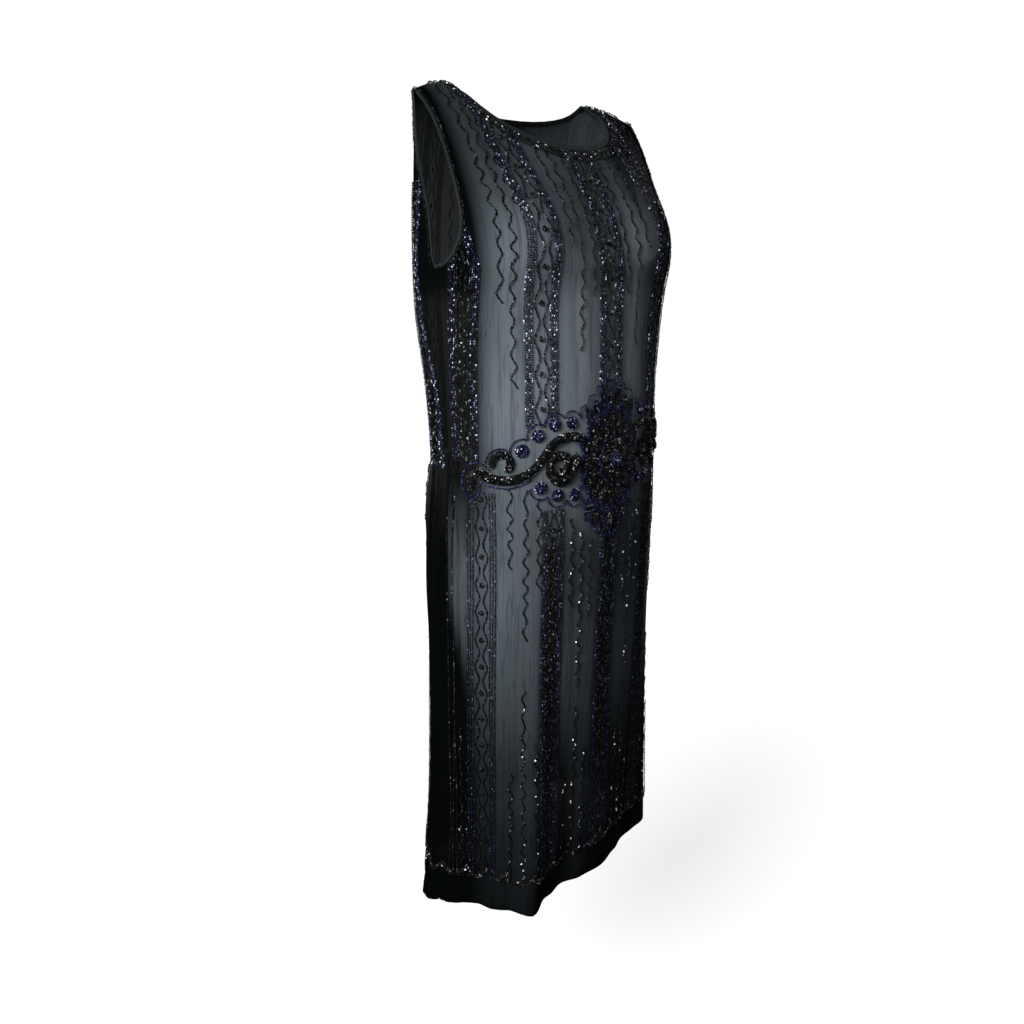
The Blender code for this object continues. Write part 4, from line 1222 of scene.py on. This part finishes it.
petalBead = {"spacing": 0.0016, "length": 0.0015, "width": 0.0017, "wander": 0.00015, "sides": 4}
outlineBead = {"spacing": 0.0024, "length": 0.0022, "width": 0.0023, "wander": 0.00015, "sides": 4}


def layOn(flat, height):  # a row over the front from flat places, at heights over the cloth's outer side
    flat = np.asarray(flat, float)
    z = ornament["z"] + flat[..., 1]
    share = flat[..., 0] / halfLength("front", z)
    return clothPoint("front", share, z - chestZ, clothForm["wall"] / 2 + ornament["under"] + height)


def evenly(course, step):  # points a step apart along a course
    course = np.asarray(course, float)
    length = climb(course)
    at = np.linspace(0.0, length[-1], max(2, int(round(length[-1] / step)) + 1))
    return np.stack([np.interp(at, length, course[:, k]) for k in range(2)], -1)


def roundAt(middle, radius, angle):  # points round a middle
    return np.stack([middle[0] + radius * np.cos(angle), middle[1] + radius * np.sin(angle)], -1)


def coilCourse(rule, way):  # a coil that winds in, or out
    part = np.linspace(0.0, 1.0, 80)
    angle = math.radians(rule["start"]) + way * 2 * math.pi * rule["turns"] * part
    return roundAt(rule["middle"], rule["outer"] + (rule["inner"] - rule["outer"]) * part, angle)


def rowsAcrossCord(course, side, halfWidth, height):  # short slanting rows over a padded cord
    rule = ornament["cordRow"]
    course = evenly(course, rule["step"])
    ahead = np.gradient(course, axis=0)
    ahead /= np.linalg.norm(ahead, axis=1, keepdims=True)
    beside = np.stack([-ahead[:, 1], ahead[:, 0]], -1)
    u = np.linspace(-1.0, 1.0, 9)
    rows = []
    for k, place in enumerate(course):
        slim = (*rule["ends"], 1.0)[min(k, len(course) - 1 - k, 2)]
        reach = u * halfWidth
        flat = place + np.outer(reach * slim, beside[k]) + np.outer(reach * rule["slant"], ahead[k])
        tall = height * slim * (1.0 - np.abs(u) ** rule["roundness"]) + cordBead["width"] * stand["cord"]
        rows.append(layOn(flat * (side, 1.0), tall))
    return rows


def roundelRows(middle, side, rule, over=0.0):  # rings of beads on a low dome
    rows, ring = [], ornament["roundelRing"]
    for out in ornament["roundelRings"]:
        angle = np.linspace(0.0, 2 * math.pi * ring["turn"], ring["points"]) + out * ring["shift"]
        flat = roundAt(middle, rule["radius"] * out, angle)
        tall = over + rule["height"] * (1.0 - out ** ring["roundness"]) + cordBead["width"] * stand["dome"]
        rows.append(layOn(flat * (side, 1.0), tall))
    return rows


def petalEdge(rule, turn):  # how far the petals reach, how high their ridge is, and 1 on a midrib
    wave = np.abs((turn / (2 * math.pi) * 4 * rule["count"]) % 4 - 2) / 2
    _, notch, tip, _ = ornament["ridge"]
    return 1.0 - rule["cut"] * (1.0 - wave), notch + (tip - notch) * wave, wave


def petalHeight(rule, flat):  # and the part of the way to the petal's edge, and 1 on its midrib
    turn = np.arctan2(flat[..., 0] / rule["across"], flat[..., 1] / rule["up"])
    out = np.hypot(flat[..., 0] / rule["across"], flat[..., 1] / rule["up"])
    reach, ridge, wave = petalEdge(rule, turn)
    hole, (first, _, _, last) = ornament["hole"], ornament["ridge"]
    middle = (hole + reach) / 2
    inner = first + (ridge - first) * np.clip((out - hole) / (middle - hole), 0.0, 1.0)
    outer = ridge + (last - ridge) * np.clip((out - middle) / (reach - middle), 0.0, 1.0)
    return np.where(out < middle, inner, outer) * rule["height"] + rule["over"], out / reach, wave


def featherRows(ahead, first, last, reach, step, slant):
    # Rows that slant from a midrib to the edges on both sides, like a feather's; reach is their length.
    beside = np.array([ahead[1], -ahead[0]])
    out = np.arange(ornament["feather"]["start"], reach, ornament["feather"]["step"])
    return [np.outer(root + out * math.cos(slant), ahead) + np.outer(side * out * math.sin(slant), beside)
            for root in np.arange(first, last, step) for side in (-1.0, 1.0)]


def petalRows(rule):
    rows = []
    feather, row = ornament["feather"], ornament["petalRow"]
    for k in range(rule["count"]):
        turn = 2 * math.pi * k / rule["count"]
        tip = np.array([rule["across"] * math.sin(turn), rule["up"] * math.cos(turn)])
        length = np.linalg.norm(tip)
        ahead = tip / length
        beside = np.array([ahead[1], -ahead[0]])
        slant = feather["slant"] * (1.0 + feather["uneven"] * math.sin(2.6 * k))
        for flat in featherRows(ahead, rule["beadsFrom"] * length, length, row["reach"], row["step"], slant):
            tall, part, wave = petalHeight(rule, flat)
            kept = (part < row["to"]) & (wave > row["offValley"])
            kept &= np.abs(flat @ beside) < (flat @ ahead) * math.tan(math.pi / rule["count"])
            rows += unbroken(layOn(flat, tall + cordBead["width"] * stand["dome"]), kept)
    return rows


def petalOutline(rule, grow):  # a row round all the petals, further out by grow
    turn = np.linspace(0.0, 2 * math.pi, rule["count"] * 16 + 1)
    reach = petalEdge(rule, turn)[0] + grow
    flat = np.stack([rule["across"] * reach * np.sin(turn), rule["up"] * reach * np.cos(turn)], -1)
    return layOn(flat, rule["over"] + outlineBead["width"] * stand["flat"])


def valleyRows(rule):  # short rows that fill the notches between the petals, on the cloth
    rows = []
    start, later, end, sooner = ornament["valleyRow"]
    for k in range(rule["count"]):
        for aside in ornament["valleys"]:
            turn = 2 * math.pi * (k + 0.5 + aside) / rule["count"]
            ahead = np.array([rule["across"] * math.sin(turn), rule["up"] * math.cos(turn)])
            part = np.linspace(start + later * abs(aside), end - sooner * abs(aside), 8)
            rows.append(layOn(np.outer(part, ahead), cordBead["width"] * stand["flat"]))
    return rows


def leafWidth(halfWidth, part):
    least, more, start, span = ornament["leafShape"]
    return halfWidth * (least + more * np.sin(math.pi * (start + span * part)))


def leafWays(degrees):  # along a leaf, and beside it
    ahead = np.array([math.sin(math.radians(degrees)), math.cos(math.radians(degrees))])
    return ahead, np.array([ahead[1], -ahead[0]])


def leafRows(rule, full=1.0):
    degrees, start, length, halfWidth = rule
    ahead, beside = leafWays(degrees)
    rows = []
    slant, row = ornament["feather"]["slant"], ornament["leafRow"]
    least, more = ornament["leafRidge"]
    for flat in featherRows(ahead, start, start + length, row["reach"], row["step"], slant):
        part = np.clip((flat @ ahead - start) / length, 0.0, 1.0)
        aside = np.abs(flat @ beside) / leafWidth(halfWidth, part)
        tall = full * ornament["scroll"]["height"] * (least + more * np.sin(math.pi * part))
        tall = tall * np.maximum(0.0, 1.0 - aside) + cordBead["width"] * stand["flat"]
        rows += unbroken(layOn(flat, tall), (aside < row["within"]) & (part < row["to"]))
    return rows


def leafOutline(rule):
    degrees, start, length, halfWidth = rule
    ahead, beside = leafWays(degrees)
    edge = ornament["leafRim"]
    part = np.linspace(edge["from"], edge["to"], 15)
    rim = np.outer(start + length * part, ahead)
    closing = np.clip((1.07 - part) * 9.0, 0.0, 1.0)  # towards the tip
    out = np.outer(leafWidth(halfWidth, np.minimum(part, 1.0)) * closing * edge["over"], beside)
    return layOn(np.vstack([rim + out, (rim - out)[::-1]]), outlineBead["width"] * stand["flat"])


def scallopedOutline(circles, side, way):  # arcs from cusp to cusp: way is 1 under them, -1 over them
    rows = []
    steps = np.diff(np.array(circles)[:, :2], axis=0)
    for k, (x, y, radius) in enumerate(circles):
        toPrevious = -steps[max(0, k - 1)]
        toNext = steps[min(k, len(steps) - 1)]
        inset = [math.acos(min(1.0, np.linalg.norm(to) / 2 / radius)) for to in (toPrevious, toNext)]
        first = math.atan2(toPrevious[1], toPrevious[0]) + way * inset[0]
        last = math.atan2(toNext[1], toNext[0]) - way * inset[1]
        last = first + way * ((way * (last - first)) % (2 * math.pi))
        rows.append(roundAt((x, y), radius, np.linspace(first, last, 24)))
    return layOn(np.vstack(rows) * (side, 1.0), outlineBead["width"] * stand["flat"])


def smoothCourse(course, count):  # a smooth curve through the points of a course
    keyed = np.column_stack([np.arange(len(course)), course])
    return smoothTable(keyed, np.linspace(0, len(keyed) - 1, count))


cordRows, roundRows, flowerRows, outlineRows = [], [], [], []
scrollCourse = smoothCourse(ornament["scrollCourse"], 120)
tailCourse = smoothCourse(ornament["tailOutline"], 90)
radius = ornament["outlineRadius"]
for side in (-1.0, 1.0):
    cordRows += rowsAcrossCord(scrollCourse, side, **ornament["scroll"])
    cordRows += rowsAcrossCord(coilCourse(ornament["spiral"], 1.0), side, **ornament["scroll"])
    cordRows += rowsAcrossCord(coilCourse(ornament["hook"], -1.0), side, ornament["hookHalfWidth"],
                               ornament["scroll"]["height"])
    for middle in ornament["roundels"]:
        roundRows += roundelRows(middle, side, ornament["roundel"])
    upper = [(x, y, radius) for x, y in ornament["roundels"][:4]]
    upper.append((*ornament["hook"]["middle"], radius * ornament["hookOutline"]))
    lower = [(x, y, radius) for x, y in ornament["roundels"][:3:-1]]
    outlineRows.append(scallopedOutline(upper, side, -1.0))
    outlineRows.append(scallopedOutline(lower, side, 1.0))
    outlineRows.append(layOn(tailCourse * (side, 1.0), outlineBead["width"] * stand["flat"]))
flowerRows += petalRows(ornament["petals"])
flowerRows += petalRows(ornament["innerPetals"])
for leaf in ornament["leaves"]:
    flowerRows += leafRows(leaf)
    outlineRows.append(leafOutline(leaf))
for grow in ornament["petalEdges"]:
    outlineRows.append(petalOutline(ornament["petals"], grow))
outlineRows.append(petalOutline(ornament["innerPetals"], ornament["innerEdge"]))
flowerRows += valleyRows(ornament["petals"])
for leaf in ornament["flatLeaves"]:
    flowerRows += leafRows(leaf, ornament["flatHeight"])
    outlineRows.append(leafOutline(leaf))
for course in (ornament["stepsAbove"], ornament["stepsBelow"]):
    for side in (-1.0, 1.0):
        outlineRows.append(layOn(evenly(course, 0.002) * (side, 1.0), outlineBead["width"] * stand["flat"]))
roundRows += roundelRows((0.0, 0.0), 1.0, ornament["centre"], ornament["centre"]["over"])
glint = ornament["glint"]
stringBeads("scrollBeads", cordRows, cordBead, blackGlass, 51, glint["scroll"])
stringBeads("roundelBeads", roundRows, cordBead, blueGlass, 52)
stringBeads("flowerBeads", flowerRows, petalBead, blackGlass, 53, glint["flower"])
stringBeads("ornamentOutline", outlineRows, outlineBead, blueGlass, 54, glint["outline"])
report("hip ornament")

# Each panel stands for its bodice and its skirt, which are hidden; the flat size and area listed with it are
# not used.
for piece, names, flatSize, area in (
    (frontPanel, ("bodice_front", "skirt_front"), (0.66, 1.14), 0.62),
    (backPanel, ("bodice_back", "skirt_back"), (0.70, 1.09), 0.65),
):
    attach(piece, "root")
    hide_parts(*names)

print("[dress] bead triangles:", sum(beadCount.values()), beadCount)
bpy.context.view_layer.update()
report("finished")
